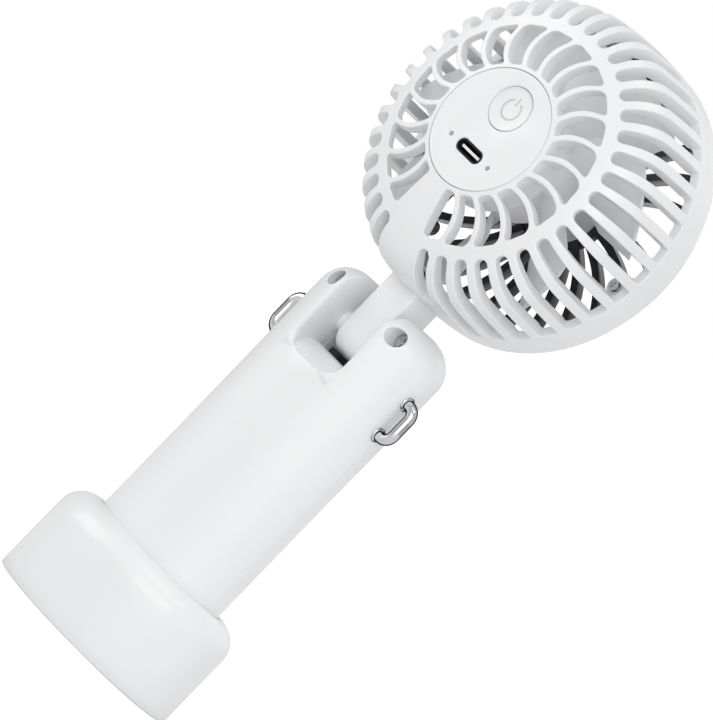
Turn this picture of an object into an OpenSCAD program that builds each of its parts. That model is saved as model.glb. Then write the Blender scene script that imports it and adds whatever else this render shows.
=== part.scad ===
// Handheld electric fan: an oval handle stands in a separate base cup, and a
// round ribbed head folds back on a hinge between the two ears of the handle.
// +Z is up, -Y is the way the air blows, and the origin is the centre of the
// base's underside. Millimetres.

/* [Base] */
// Width of the base, side to side
base_w = 60; // [54:1:72]
// Depth of the base, front to back
base_d = 47; // [42:1:58]
// Height of the base cup
base_h = 27.8; // [23:0.2:36]
// Radius of the rounded shoulder of the base
shoulder_r = 7; // [4:0.5:7.5]
// Wall of the base cup
base_wall = 2; // [1.6:0.1:3]
// Thickness of the floor plate
floor_t = 2.4; // [1.6:0.2:3.6]
// Thickness of the rubber foot
foot_t = 1.2; // [0.8:0.1:2]
// Height of the seat that the handle stands on
seat_z = 6; // [5.5:0.5:9]

/* [Handle] */
// Width of the handle, side to side
handle_w = 44.2; // [43.4:0.2:52]
// Depth of the handle, front to back
handle_d = 30; // [28.5:0.5:36]
// Length of the handle, from its seat to the top of the ears
handle_len = 106.4; // [96:0.2:130]
// Wall of the handle shells
shell_wall = 2.2; // [1.6:0.1:2.8]
// Where the front and rear shells part, back from the middle
part_y = 1; // [0:0.2:2]
// Width of the slot between the ears
slot_w = 18.1; // [16.5:0.1:20]
// Depth of the slot, from the top of the ears
slot_depth = 24.4; // [22:0.2:27]
// Thickness of the front wall that closes the slot
slot_front_wall = 2.6; // [2:0.1:3.2]
// Radius of the ears' tops, seen from behind
ear_r = 9; // [6:0.5:10]
// Radius of the ears' tops, seen from the side
ear_side_r = 7; // [4:0.5:9]
// Recess of a shell screw
screw_recess_d = 5; // [4:0.1:5.4]
// Thread of a shell screw
screw_d = 2.2; // [1.8:0.1:2.6]
// Diameter of a battery cell
cell_d = 18.3; // [16:0.1:18.6]
// Length of a battery cell
cell_len = 65; // [50:1:67]

/* [Lanyard loops] */
// Thickness of a loop's bar
loop_bar_d = 3; // [2:0.1:3.4]
// Height of a loop over its bars
loop_h = 13.2; // [11:0.2:15]
// How far a loop stands out from the handle
loop_reach = 5; // [4.2:0.1:7]
// Middle of the loops, down from the top of the ears
loop_drop = 20.4; // [17:0.2:23]

/* [Hinge] */
// Middle of the hinge pin, down from the top of the ears
hinge_drop = 11.8; // [11:0.1:13]
// Diameter of the hinge pin
pin_d = 3; // [2.4:0.1:3.4]
// Diameter of the friction washers
washer_d = 6; // [5:0.1:11]
// Width of the neck
neck_w = 10.7; // [9:0.1:12]
// Depth of the neck
neck_d = 12.1; // [10.5:0.1:13]
// Radius of the neck's corners, seen from behind
neck_corner_r = 2.4; // [1:0.1:3.5]
// Bore of the neck for the wires
wire_bore_d = 3.4; // [2.8:0.1:4]

/* [Head] */
// Diameter of the head
head_d = 84; // [80:1:100]
// Depth of the rear housing, from the control disc to the rim
head_depth = 39.8; // [37:0.2:48]
// Gap between the top of the ears and the head
head_gap = 4.3; // [4:0.1:8]
// How far the control disc lies behind the middle of the base
disc_y = 24.8; // [23.5:0.1:26.5]
// Wall of the rear housing
housing_wall = 2.2; // [1.8:0.1:2.6]
// Radius of the corner between the crown and the side
corner_r = 12; // [10:0.5:13]
// Number of places for the outer slots
outer_count = 38; // [30:2:44]
// Share of an outer place that is open
outer_open = 0.6; // [0.4:0.02:0.64]
// Radius at which the outer slots start
outer_slot_r = 32.6; // [32:0.1:34]
// Plain band between the outer slots and the rim
rim_band = 9.2; // [8:0.2:13]
// Number of places for the inner ribs
inner_count = 22; // [16:1:26]
// Outer radius of the inner windows
inner_open_r = 29.6; // [27:0.1:30]
// Width of an inner rib
inner_rib_w = 1.7; // [1.2:0.1:2.2]
// How deep the inner ribs are
inner_rib_depth = 3.6; // [2.6:0.1:4]
// How far an inner rib bows sideways
inner_rib_bow = 1.75; // [1:0.05:2.5]
// Half the angle of the strut below the control disc
strut_half = 12; // [10:1:14]

/* [Controls] */
// Radius of the control disc
cover_r = 16.4; // [15.6:0.1:16.8]
// Thickness of the control disc
cover_t = 1.6; // [1.2:0.1:2]
// Gap round the control disc
cover_gap = 0.15; // [0.1:0.01:0.25]
// Radius of the power button
button_r = 5.9; // [5:0.1:6.3]
// How far the power button lies above the middle of the disc
button_up = 6.9; // [6.6:0.1:8]
// Travel of the power button
button_travel = 0.4; // [0.3:0.05:0.5]
// How far the charging socket lies below the middle of the disc
socket_down = 7.2; // [6.6:0.1:8.4]
// Width of the charging socket's shell
socket_w = 9; // [8.9:0.05:9.2]
// Height of the charging socket's shell
socket_h = 3.3; // [3.2:0.05:3.4]

/* [Motor and impeller] */
// Depth of the hub that holds the controls
hub_depth = 9.6; // [9.2:0.1:11]
// Diameter of the motor shaft
shaft_d = 2; // [1.5:0.1:2.6]
// Radial play of the shaft in its bearings
shaft_play = 0.03; // [0.01:0.01:0.08]
// Outer diameter of a bearing
bearing_d = 6; // [5.6:0.1:6.4]
// Width of a bearing
bearing_w = 2.5; // [2:0.1:3]
// Outer diameter of the rotor can
can_d = 26; // [24:0.5:28]
// Depth of the rotor can
can_depth = 11; // [10:0.2:12]
// Air gap between the stator and the magnets
air_gap = 0.5; // [0.35:0.05:0.8]
// Number of stator teeth
tooth_count = 9; // [6:3:12]
// Number of blades
blade_count = 7; // [5:1:11]
// Thickness of a blade
blade_t = 1.4; // [1:0.1:2]
// Pitch of a blade
blade_pitch = 40; // [30:1:50]
// Gap between the blades' tips and the housing
tip_gap = 3.2; // [2.6:0.1:4.6]

/* [Front grille] */
// Number of ribs in the front grille
grille_count = 26; // [18:2:44]
// Width of a grille rib
grille_rib_w = 2; // [1:0.1:2.6]
// Radius of the grille's centre cap
grille_cap_r = 12.5; // [10:0.5:16]
// How far the grille bulges forward of the rim
grille_bulge = 4.4; // [3:0.2:6]
// Number of grille screws
grille_screw_count = 3; // [2:1:4]
// Where the first grille screw lies, round from the bottom
grille_screw_at = 80; // [70:5:110]

/* [Hidden] */

$fn = 64;
hull_fn = 32;
hull_side_fn = 96;
slip = 0.05;            // gap between pieces that are pushed together
dock_gap = 0.3;         // gap between the handle and the base cup
eps = 0.01;

// Heights
handle_top = seat_z + handle_len;
slot_floor = handle_top - slot_depth;
hinge_z = handle_top - hinge_drop;
loop_z = handle_top - loop_drop;
head_z = handle_top + head_gap + head_d / 2;

// Handle
slot_front_y = -handle_d / 2 + slot_front_wall;
cavity_floor = seat_z + shell_wall;
cavity_top = slot_floor - shell_wall;
cell_z = cavity_floor + 4;
slot_corner_r = 5;
ramp_top = slot_floor + 4.6;
lead_d = 1.6;
grommet = [3.6, 5];
grommet_neck = [2.6, 3.6];
grommet_x = slot_w / 2 - 2.6;
grommet_y = part_y - 3.5;
grommet_z = slot_floor + 0.2;
grommet_top = hinge_z - neck_d / 2 - 0.6;
cell_board = [26, 9, 1];
cell_board_y = part_y - 3;
cell_board_z = cell_z + cell_len + 1.2;
screw_x = slot_w / 4 + handle_w / 4 - 2.6;
screw_z = handle_top - 5.5;
screw_seat_y = part_y + 5;
screw_len = 9.5;
pin_half = slot_w / 2 + 5;

// Head profile: three arcs that run into each other, as [radius, depth behind
// the control disc's face]. Their angles are measured from the disc's plane.
seat_r = cover_r + cover_gap;
crown_a = 8;
corner_a = 24;
side_a = 84;
side_r = 130;
crown_r = (head_d / 2 - side_r * (1 - sin(side_a)) - corner_r * (sin(side_a) - sin(corner_a)) - seat_r)
    / (sin(corner_a) - sin(crown_a));
corner_start = arc_end([seat_r, 0], crown_r, crown_a, corner_a);
side_start = arc_end(corner_start, corner_r, corner_a, side_a);
rim_a = acos(cos(side_a) - (head_depth - side_start[1]) / side_r);
rim_r = arc_end(side_start, side_r, side_a, rim_a)[0];
hub_r = seat_r + 1.15;
hub_wall = 1.4;
hub_floor_t = 1.6;
lead_z = hub_depth - hub_floor_t - 1.4;
slot_end = head_depth - rim_band;
neck_slot_end = disc_y - part_y - neck_d / 2 - 1;

// Controls, as depths behind the disc's face
button_flange = cover_t + 0.35;
switch_top = button_flange + 1.2 + button_travel + 0.05;
board_z = switch_top + 2.65;
board_t = 1;
board_r = seat_r - hub_wall - 0.3;
indicator_x = 7.7;

// Motor, as depths behind the disc's face
bracket_z = hub_depth;
bracket_t = 1.2;
can_z = bracket_z + bracket_t + 0.4;
can_front = can_z + can_depth;
can_wall = 1;
magnet_t = 1.2;
stator_r = can_d / 2 - can_wall - magnet_t - air_gap;
sleeve_r = bearing_d / 2 + 1.2;
stator_h = 5;
stator_z = can_z + 3;
bearing_back = bracket_z + 0.2;
bearing_front = stator_z + stator_h - 0.6;

// Impeller
impeller_hub_t = 1.3;
hub_cup_r = can_d / 2 + slip + impeller_hub_t;
tip_r = rim_r - housing_wall - tip_gap;
blade_back = hub_depth + 3;
blade_front = head_depth - 9.4;

// Front grille
lug_r = rim_r - housing_wall - 3.4;
lug_z = head_depth - 7.2;
lug_t = 2.2;
grille_ring_r = rim_r - housing_wall - 0.15;
grille_ring_t = 1.4;
grille_rib_depth = 3.6;
grille_flange_t = 0.8;
grille_boss_h = head_depth - lug_z - lug_t - 0.5;

white = [0.93, 0.93, 0.92];
soft_white = [0.84, 0.85, 0.86];
chrome = [0.75, 0.76, 0.78];
dark_chrome = [0.16, 0.17, 0.19];
black = [0.05, 0.05, 0.06];
copper = [0.72, 0.42, 0.2];
board_green = [0.06, 0.3, 0.2];

function arc_end(start, r, a0, a1) = start + r * [sin(a1) - sin(a0), cos(a0) - cos(a1)];

// Points of one arc of the head profile, moved inward by inset
function arc_points(start, r, a0, a1, steps, inset) =
    let (centre = start + r * [-sin(a0), cos(a0)])
    [for (i = [0:steps]) let (a = a0 + (a1 - a0) * i / steps) centre + (r - inset) * [sin(a), -cos(a)]];

function drop_first(list) = [for (i = [1:len(list) - 1]) list[i]];
function reversed(list) = [for (i = [len(list) - 1:-1:0]) list[i]];

function crown_points(inset) = arc_points([seat_r, 0], crown_r, crown_a, corner_a, 3, inset);
function head_points(inset) = concat(
    crown_points(inset),
    drop_first(arc_points(corner_start, corner_r, corner_a, side_a, 5, inset)),
    drop_first(arc_points(side_start, side_r, side_a, rim_a, 4, inset)));

// Oval of four arcs, which touch without a corner
module oval(w, d, end_fn = 64, side_fn = 256) {
    a = w / 2;
    b = d / 2;
    end_r = min(1.1 * b * b / a, 0.96 * b);
    c = a - end_r;
    side_arc = (c * c + b * b - end_r * end_r) / (2 * (b - end_r));
    touch_x = c * side_arc / (side_arc - end_r);
    for (s = [-1, 1]) translate([s * c, 0]) circle(r = end_r, $fn = end_fn);
    intersection() {
        translate([0, b - side_arc]) circle(r = side_arc, $fn = side_fn);
        translate([0, side_arc - b]) circle(r = side_arc, $fn = side_fn);
        square([2 * touch_x, d + 1], center = true);
    }
}

module rounded_rect(w, h, r) {
    square([w - 2 * r, h], center = true);
    square([w, h - 2 * r], center = true);
    for (sx = [-1, 1], sy = [-1, 1]) translate([sx * (w / 2 - r), sy * (h / 2 - r)]) circle(r = r);
}

// Upright outline with two rounded top corners, from z0 to z1
module arch_outline(w, z0, z1, r) {
    translate([-w / 2, z0]) square([w, z1 - z0 - r]);
    translate([-w / 2 + r, z0]) square([w - 2 * r, z1 - z0]);
    for (s = [-1, 1]) translate([s * (w / 2 - r), z1 - r]) circle(r = r);
}

// Extrudes an outline drawn in X and Z along Y, from y0 to y1
module along_y(y0, y1) {
    translate([0, y1, 0]) rotate([90, 0, 0]) linear_extrude(height = y1 - y0) children();
}

// Extrudes an outline drawn in Y and Z along X, across the middle
module along_x(length) {
    rotate([90, 0, 90]) linear_extrude(height = length, center = true) children();
}

// Head frame: x and y stay right and up, and z runs forward from the disc
module in_head() {
    translate([0, disc_y, head_z]) rotate([90, 0, 0]) children();
}

// Turns to an angle round the head, from the bottom toward -X
module round_head(angle) {
    rotate(270 - angle) children();
}

module ring(outer, inner, height) {
    difference() {
        cylinder(r = outer, h = height);
        translate([0, 0, -1]) cylinder(r = inner, h = height + 2);
    }
}

// ---- Base ----

module base_skin() {
    hull() {
        linear_extrude(height = eps) oval(base_w, base_d, hull_fn, hull_side_fn);
        for (a = [0:15:90]) {
            shrink = shoulder_r * (1 - cos(a));
            translate([0, 0, base_h - shoulder_r * (1 - sin(a)) - eps]) linear_extrude(height = eps)
                oval(base_w - 2 * shrink, base_d - 2 * shrink, hull_fn, hull_side_fn);
        }
    }
}

module base_cup() color(white) {
    pocket_w = handle_w + 2 * dock_gap;
    pocket_d = handle_d + 2 * dock_gap;
    under_shoulder = base_wall + shoulder_r / 2;
    sleeve_z = foot_t + floor_t + slip;
    difference() {
        base_skin();
        difference() {
            union() {
                translate([0, 0, -1]) linear_extrude(height = base_h - shoulder_r + 1)
                    oval(base_w - 2 * base_wall, base_d - 2 * base_wall);
                translate([0, 0, 1]) linear_extrude(height = base_h - base_wall - 1.5)
                    oval(base_w - 2 * under_shoulder, base_d - 2 * under_shoulder);
            }
            translate([0, 0, sleeve_z]) linear_extrude(height = base_h)
                oval(pocket_w + 2 * base_wall, pocket_d + 2 * base_wall);
        }
        translate([0, 0, seat_z]) linear_extrude(height = base_h) oval(pocket_w, pocket_d);
    }
}

module base_floor() color(soft_white) {
    translate([0, 0, foot_t]) linear_extrude(height = floor_t)
        oval(base_w - 2 * base_wall - 2 * slip, base_d - 2 * base_wall - 2 * slip);
}

module rubber_foot() color(black) {
    linear_extrude(height = foot_t) oval(base_w - 2 * base_wall - 2, base_d - 2 * base_wall - 2);
}

// ---- Handle ----

module slot_outline() {
    half = slot_w / 2 - slot_corner_r;
    translate([-slot_w / 2, slot_floor + slot_corner_r]) square([slot_w, slot_depth]);
    translate([-half, slot_floor]) square([2 * half, slot_depth]);
    for (s = [-1, 1]) translate([s * half, slot_floor + slot_corner_r]) circle(r = slot_corner_r);
}

// The floor of the slot rises toward the hinge
module slot_ramp() {
    along_x(slot_w + 1) polygon([[part_y + 1.5, slot_floor - 1], [handle_d, slot_floor - 1],
        [handle_d / 2 - 0.5, slot_floor], [part_y + 5, ramp_top], [part_y + 1.5, ramp_top]]);
}

module handle_solid() {
    intersection() {
        translate([0, 0, seat_z]) linear_extrude(height = handle_len) oval(handle_w, handle_d);
        along_y(-handle_d, handle_d) arch_outline(handle_w, seat_z, handle_top, ear_r);
        along_x(2 * handle_w) arch_outline(handle_d, seat_z, handle_top, ear_side_r);
    }
}

module handle_body() {
    difference() {
        handle_solid();
        difference() {
            along_y(slot_front_y, handle_d) slot_outline();
            slot_ramp();
        }
        translate([0, 0, cavity_floor]) linear_extrude(height = cavity_top - cavity_floor)
            oval(handle_w - 2 * shell_wall, handle_d - 2 * shell_wall);
        for (s = [-1, 1]) {
            translate([s * screw_x, screw_seat_y, screw_z]) rotate([-90, 0, 0])
                cylinder(d = screw_recess_d, h = handle_d);
            translate([s * screw_x, screw_seat_y + 1, screw_z]) rotate([90, 0, 0])
                cylinder(d = screw_d + 2 * slip, h = screw_len + 2);
            for (leg = [-1, 1])
                translate([s * handle_w / 2, part_y, loop_z + leg * (loop_h - loop_bar_d) / 2])
                    rotate([0, 90, 0]) cylinder(d = loop_bar_d + 2 * slip, h = 12, center = true);
        }
        translate([0, part_y, hinge_z]) rotate([0, 90, 0])
            cylinder(d = pin_d + 2 * slip, h = 2 * pin_half + 2 * slip, center = true);
        grommet_solid(slip);
    }
}

module handle_half(y0, y1) {
    intersection() {
        handle_body();
        translate([-handle_w, y0, 0]) cube([2 * handle_w, y1 - y0, 2 * handle_len]);
    }
}

module handle_rear_shell() color(white) handle_half(part_y, handle_d);
module handle_front_shell() color(white) handle_half(-handle_d, part_y);

module cross_head_screw(head_r, head_h, thread_r, thread_len) {
    difference() {
        cylinder(r = head_r, h = head_h);
        for (a = [0, 90]) rotate(a) translate([0, 0, head_h])
            cube([head_r * 1.2, head_r * 0.3, head_h], center = true);
    }
    translate([0, 0, -thread_len]) cylinder(r = thread_r, h = thread_len + eps);
}

module shell_screws() color(chrome) {
    for (s = [-1, 1]) translate([s * screw_x, screw_seat_y, screw_z]) rotate([-90, 0, 0])
        cross_head_screw(screw_recess_d / 2 - 0.3, 1.6, screw_d / 2, screw_len);
}

module battery_cells() color("lightgray") {
    for (s = [-1, 1]) translate([s * (cell_d / 2 + 0.2), 0, cell_z]) {
        cylinder(d = cell_d, h = cell_len);
        translate([0, 0, cell_len - eps]) cylinder(d = cell_d / 3, h = 1.2);
    }
}

module protection_board() color(board_green) {
    translate([0, cell_board_y, cell_board_z]) linear_extrude(height = cell_board[2])
        rounded_rect(cell_board[0], cell_board[1], 1);
}

function unit(v) = v / norm(v);

// Round wire through points that all lie in the middle plane, with its joints mitred
module wire(points, d) {
    sides = 10;
    last = len(points) - 1;
    rings = [for (i = [0:last])
        let (
            back = unit(points[i] - points[max(i - 1, 0)] + (i == 0 ? points[1] - points[0] : [0, 0, 0])),
            ahead = unit(points[min(i + 1, last)] - points[i]
                + (i == last ? points[last] - points[last - 1] : [0, 0, 0])),
            across = unit(cross(unit(back + ahead), [1, 0, 0])),
            stretch = 1 / sqrt((1 + back * ahead) / 2)
        )
        for (k = [0:sides - 1])
            points[i] + d / 2 * (cos(k * 360 / sides) * [1, 0, 0] + sin(k * 360 / sides) * stretch * across)];
    walls = [for (i = [0:last - 1], k = [0:sides - 1])
        let (next = (k + 1) % sides)
        [i * sides + k, i * sides + next, (i + 1) * sides + next, (i + 1) * sides + k]];
    polyhedron(points = rings, faces = concat(
        [[for (k = [sides - 1:-1:0]) k]], walls, [[for (k = [0:sides - 1]) last * sides + k]]));
}

module battery_lead() color(black) {
    translate([grommet_x, 0, 0]) wire([
        [0, cell_board_y, cell_board_z + cell_board[2]],
        [0, cell_board_y, cell_board_z + cell_board[2] + 1],
        [0, grommet_y, cavity_top],
        [0, grommet_y, grommet_top - 1]], lead_d);
}

// The grommet's outer shape, also cut from the shells with a little room round it
module grommet_solid(grow) {
    translate([grommet_x, grommet_y, 0]) {
        translate([0, 0, cavity_top - grow]) linear_extrude(height = shell_wall + 1)
            rounded_rect(grommet_neck[0] + 2 * grow, grommet_neck[1] + 2 * grow, 1);
        translate([0, 0, grommet_z - grow]) linear_extrude(height = grommet_top - grommet_z + 2 * grow)
            rounded_rect(grommet[0] + 2 * grow, grommet[1] + 2 * grow, 1);
    }
}

module wire_grommet() color(black) {
    difference() {
        grommet_solid(0);
        translate([grommet_x, grommet_y, cavity_top - 1]) cylinder(d = lead_d + 2 * slip, h = grommet_top);
    }
}

// ---- Lanyard loops ----

module lanyard_loop(side) {
    bend = 2.6;
    x0 = handle_w / 2 - 4;
    x1 = handle_w / 2 + loop_reach - loop_bar_d / 2;
    leg_z = (loop_h - loop_bar_d) / 2;
    translate([0, part_y, loop_z]) mirror([side < 0 ? 1 : 0, 0, 0]) {
        for (s = [-1, 1]) {
            translate([x0, 0, s * leg_z]) rotate([0, 90, 0]) cylinder(d = loop_bar_d, h = x1 - x0 - bend);
            translate([x1 - bend, 0, s * (leg_z - bend)]) rotate([90, 0, 0]) intersection() {
                rotate_extrude() translate([bend, 0]) circle(d = loop_bar_d, $fn = 32);
                translate([0, s > 0 ? 0 : -20, -20]) cube([20, 20, 40]);
            }
        }
        translate([x1, 0, 0]) cylinder(d = loop_bar_d, h = 2 * (leg_z - bend), center = true);
    }
}

module lanyard_loop_left() color(chrome) lanyard_loop(1);
module lanyard_loop_right() color(chrome) lanyard_loop(-1);

// ---- Hinge ----

module hinge_pin() color(chrome) {
    translate([0, part_y, hinge_z]) rotate([0, 90, 0]) cylinder(d = pin_d, h = 2 * pin_half, center = true);
}

module hinge_washers() color(white) {
    for (s = [-1, 1]) translate([s * (slot_w / 2 + neck_w / 2 + 0.3) / 2, part_y, hinge_z])
        rotate([0, 90, 0]) translate([0, 0, -(slot_w - neck_w) / 4 + 0.15])
            ring(washer_d / 2, pin_d / 2 + slip, (slot_w - neck_w) / 2 - 0.3);
}

// Everything of the neck, up to the inside of the head's wall
module neck_solid(grow) {
    top = head_z - rim_r + housing_wall + 2;
    intersection() {
        union() {
            translate([-neck_w / 2 - grow, part_y - neck_d / 2 - grow, hinge_z])
                cube([neck_w + 2 * grow, neck_d + 2 * grow, top - hinge_z]);
            translate([0, part_y, hinge_z]) rotate([0, 90, 0])
                cylinder(r = neck_d / 2 + grow, h = neck_w + 2 * grow, center = true);
        }
        along_y(-30, 30) translate([0, (top + hinge_z - neck_d / 2) / 2])
            rounded_rect(neck_w + 2 * grow, top - hinge_z + neck_d / 2 + 2 * grow, neck_corner_r);
    }
}

module neck_arm() color(white) {
    difference() {
        neck_solid(0);
        in_head() cylinder(r = head_d / 2 - housing_wall - 1, h = head_depth);
        translate([0, part_y, hinge_z]) rotate([0, 90, 0])
            cylinder(r = pin_d / 2 + shaft_play, h = neck_w + 2, center = true);
        translate([0, part_y, hinge_z + pin_d / 2 + 2]) cylinder(d = wire_bore_d, h = head_z);
    }
}

// ---- Head ----

module outer_slots(places) {
    pitch = 360 / outer_count;
    for (k = places) round_head((k + 0.5) * pitch) {
        inner_w = outer_open * pitch * PI / 180 * (outer_slot_r + 2);
        outer_w = outer_open * pitch * PI / 180 * (head_d / 2 + 2);
        start = outer_slot_r + inner_w / 2;
        translate([start, 0]) circle(d = inner_w, $fn = 32);
        polygon([[start, -inner_w / 2], [head_d / 2 + 2, -outer_w / 2],
            [head_d / 2 + 2, outer_w / 2], [start, inner_w / 2]]);
    }
}

// One bowed rib of the inner tier, along +X
module inner_rib_outline() {
    r0 = hub_r - 0.6;
    r1 = inner_open_r + 0.8;
    half = (r1 - r0) / 2;
    bend_r = (half * half + inner_rib_bow * inner_rib_bow) / (2 * inner_rib_bow);
    intersection() {
        translate([r0, -2]) square([r1 - r0, 2 * inner_rib_bow + 2]);
        translate([r0 + half, inner_rib_bow - bend_r]) difference() {
            circle(r = bend_r + inner_rib_w / 2, $fn = 96);
            circle(r = bend_r - inner_rib_w / 2, $fn = 96);
        }
    }
}

module inner_ribs_outline() {
    pitch = 360 / inner_count;
    for (k = [1:inner_count - 2]) round_head((k + 0.5) * pitch - 4.2) mirror([0, 1]) inner_rib_outline();
    round_head(-3) polygon([[hub_r - 0.6, -(hub_r - 0.6) * tan(strut_half)],
        [inner_open_r + 0.8, -(inner_open_r + 0.8) * tan(strut_half)],
        [inner_open_r + 0.8, (inner_open_r + 0.8) * tan(strut_half)],
        [hub_r - 0.6, (hub_r - 0.6) * tan(strut_half)]]);
}

module housing_shell() {
    difference() {
        rotate_extrude() polygon(concat(head_points(0), reversed(head_points(housing_wall))));
        translate([0, 0, -1]) linear_extrude(height = slot_end + 1) outer_slots([2:outer_count - 3]);
        translate([0, 0, -1]) linear_extrude(height = neck_slot_end + 1) outer_slots([1, outer_count - 2]);
        translate([0, 0, -1]) cylinder(r = inner_open_r, h = 20);
    }
    intersection() {
        translate([0, 0, -1]) linear_extrude(height = 14) inner_ribs_outline();
        rotate_extrude() polygon(concat(crown_points(0), reversed(crown_points(inner_rib_depth))));
    }
}

module hub_cup() {
    rotate_extrude() polygon([[seat_r, 0], [hub_r, (hub_r - seat_r) * tan(crown_a)], [hub_r, hub_depth],
        [sleeve_r - 1, hub_depth], [sleeve_r - 1, hub_depth - hub_floor_t],
        [seat_r - hub_wall, hub_depth - hub_floor_t], [seat_r - hub_wall, cover_t], [seat_r, cover_t]]);
}

module grille_lugs() {
    for (k = [0:grille_screw_count - 1]) round_head(grille_screw_at + k * 360 / grille_screw_count)
        translate([0, 0, lug_z]) linear_extrude(height = lug_t) {
            translate([lug_r, 0]) circle(r = 2.4);
            translate([lug_r, -2.4]) square([rim_r - housing_wall / 2 - lug_r, 4.8]);
        }
}

module rear_housing() color(white) {
    difference() {
        in_head() {
            housing_shell();
            hub_cup();
            grille_lugs();
        }
        neck_solid(slip);
        in_head() {
            for (k = [0:grille_screw_count - 1])
                round_head(grille_screw_at + k * 360 / grille_screw_count)
                    translate([lug_r, 0, lug_z - 1]) cylinder(d = 1.7, h = lug_t + 2);
            for (k = [0:2]) rotate(90 + k * 120)
                translate([screw_circle_r(), 0, hub_depth - hub_floor_t - 1]) cylinder(d = 1.5, h = 4);
            round_head(0) lead_groove();
        }
    }
}

// The wires run in a groove along the inside of the strut
module lead_groove() {
    groove_w = lead_d + 0.4;
    translate([0, 0, lead_z]) rotate([0, 90, 0]) cylinder(d = groove_w, h = hub_r + 2);
    translate([hub_r - 1, -groove_w / 2, lead_z])
        cube([head_d / 2 - housing_wall - hub_r - 2, groove_w, 12]);
}

function screw_circle_r() = sleeve_r + 2.2;

// ---- Controls ----

module at_socket() translate([0, -socket_down, 0]) children();
module at_button() translate([0, button_up, 0]) children();

module control_disc() color(white) in_head() {
    difference() {
        cylinder(r = cover_r, h = cover_t);
        at_button() translate([0, 0, -1]) cylinder(r = button_r + 0.15, h = cover_t + 2);
        at_socket() translate([0, 0, -1]) linear_extrude(height = cover_t + 2)
            rounded_rect(socket_w + 0.3, socket_h + 0.3, socket_h / 2 - 0.1);
        for (s = [-1, 1]) at_socket() translate([s * indicator_x, 0, -1])
            cylinder(d = 0.9 + 2 * slip, h = cover_t + 2, $fn = 24);
    }
}

module power_icon() {
    difference() {
        circle(r = 2.9);
        circle(r = 2.45);
        translate([-0.9, 1]) square([1.8, 3]);
    }
    translate([-0.22, 1.4]) square([0.44, 2.4]);
}

module power_button() color(white) in_head() at_button() {
    dish_r = 40;
    difference() {
        translate([0, 0, 0.1]) cylinder(r = button_r, h = button_flange + 0.6);
        translate([0, 0, 0.9 - dish_r]) sphere(r = dish_r, $fn = 96);
        linear_extrude(height = 1.1) power_icon();
    }
    translate([0, 0, button_flange]) cylinder(r = button_r + 0.7, h = 0.7);
    translate([0, 0, button_flange]) cylinder(r = 1.4, h = 1.2);
}

module control_board() color(board_green) in_head() {
    translate([0, 0, board_z]) difference() {
        cylinder(r = board_r, h = board_t);
        for (k = [0:2]) rotate(90 + k * 120) translate([screw_circle_r(), 0, -1]) cylinder(d = 3.4, h = 4);
    }
}

module button_switch() color(black) in_head() at_button() {
    translate([0, 0, switch_top]) cylinder(r = 1.1, h = 1);
    translate([-2.2, -2.2, switch_top + 0.8]) cube([4.4, 4.4, board_z - switch_top - 0.8]);
}

module socket_shell() color(chrome) in_head() at_socket() {
    difference() {
        translate([0, 0, 0.2]) linear_extrude(height = board_z - 0.2)
            rounded_rect(socket_w, socket_h, socket_h / 2 - 0.05);
        translate([0, 0, -1]) linear_extrude(height = board_z)
            rounded_rect(socket_w - 0.6, socket_h - 0.6, socket_h / 2 - 0.35);
    }
}

module socket_tongue() color(black) in_head() at_socket() {
    translate([-3.35, -0.35, 0.9]) cube([6.7, 0.7, board_z - 1.9]);
}

module indicator_lenses() color(soft_white) in_head() at_socket() {
    for (s = [-1, 1]) translate([s * indicator_x, 0, 0.1]) cylinder(d = 0.9, h = board_z - 0.1, $fn = 24);
}

module head_lead() color(black) {
    side_lead_r = tip_r + lead_d / 2 + 0.5;
    neck_depth = disc_y - part_y;
    wire([for (p = [[board_r + 0.2, lead_z], [hub_r + 2.3, lead_z], [side_lead_r - 7.4, lead_z + 1.4],
            [side_lead_r - 2, blade_back - 2.4], [side_lead_r, blade_back],
            [side_lead_r, neck_depth - 2], [side_lead_r + 2.4, neck_depth],
            [head_z - hinge_z - pin_d / 2 - 3.4, neck_depth]])
        [0, disc_y - p[1], head_z - p[0]]], lead_d);
}

// ---- Motor ----

module motor_bracket() color(chrome) in_head() {
    difference() {
        union() {
            translate([0, 0, bracket_z]) cylinder(r = sleeve_r + 4.2, h = bracket_t);
            translate([0, 0, bracket_z]) cylinder(r = sleeve_r, h = bearing_front + bearing_w - bracket_z);
        }
        translate([0, 0, bearing_back]) cylinder(r = bearing_d / 2 + 0.01, h = bearing_w);
        translate([0, 0, bearing_front]) cylinder(r = bearing_d / 2 + 0.01, h = bearing_w + 1);
        translate([0, 0, bracket_z - 1]) cylinder(r = shaft_d / 2 + 0.5, h = 30);
        for (k = [0:2]) rotate(90 + k * 120) translate([screw_circle_r(), 0, bracket_z - 1])
            cylinder(d = 1.5, h = 4);
    }
}

module motor_screws() color(chrome) in_head() {
    for (k = [0:2]) rotate(90 + k * 120) translate([screw_circle_r(), 0, hub_depth - hub_floor_t])
        rotate([180, 0, 0]) cross_head_screw(1.3, 0.7, 0.7, hub_floor_t + bracket_t - 0.1);
}

module bearings() color(chrome) in_head() {
    for (z = [bearing_back, bearing_front]) translate([0, 0, z])
        ring(bearing_d / 2, shaft_d / 2 + shaft_play, bearing_w);
}

module tooth_places() {
    for (k = [0:tooth_count - 1]) rotate(k * 360 / tooth_count) children();
}

module stator_core() color(chrome) in_head() translate([0, 0, stator_z]) {
    linear_extrude(height = stator_h) difference() {
        union() {
            circle(r = sleeve_r + 1.2);
            tooth_places() translate([0, -0.7]) square([stator_r - 0.6, 1.4]);
            intersection() {
                difference() {
                    circle(r = stator_r);
                    circle(r = stator_r - 1);
                }
                tooth_places() translate([0, -2.6]) square([stator_r + 1, 5.2]);
            }
        }
        circle(r = sleeve_r);
    }
}

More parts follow.
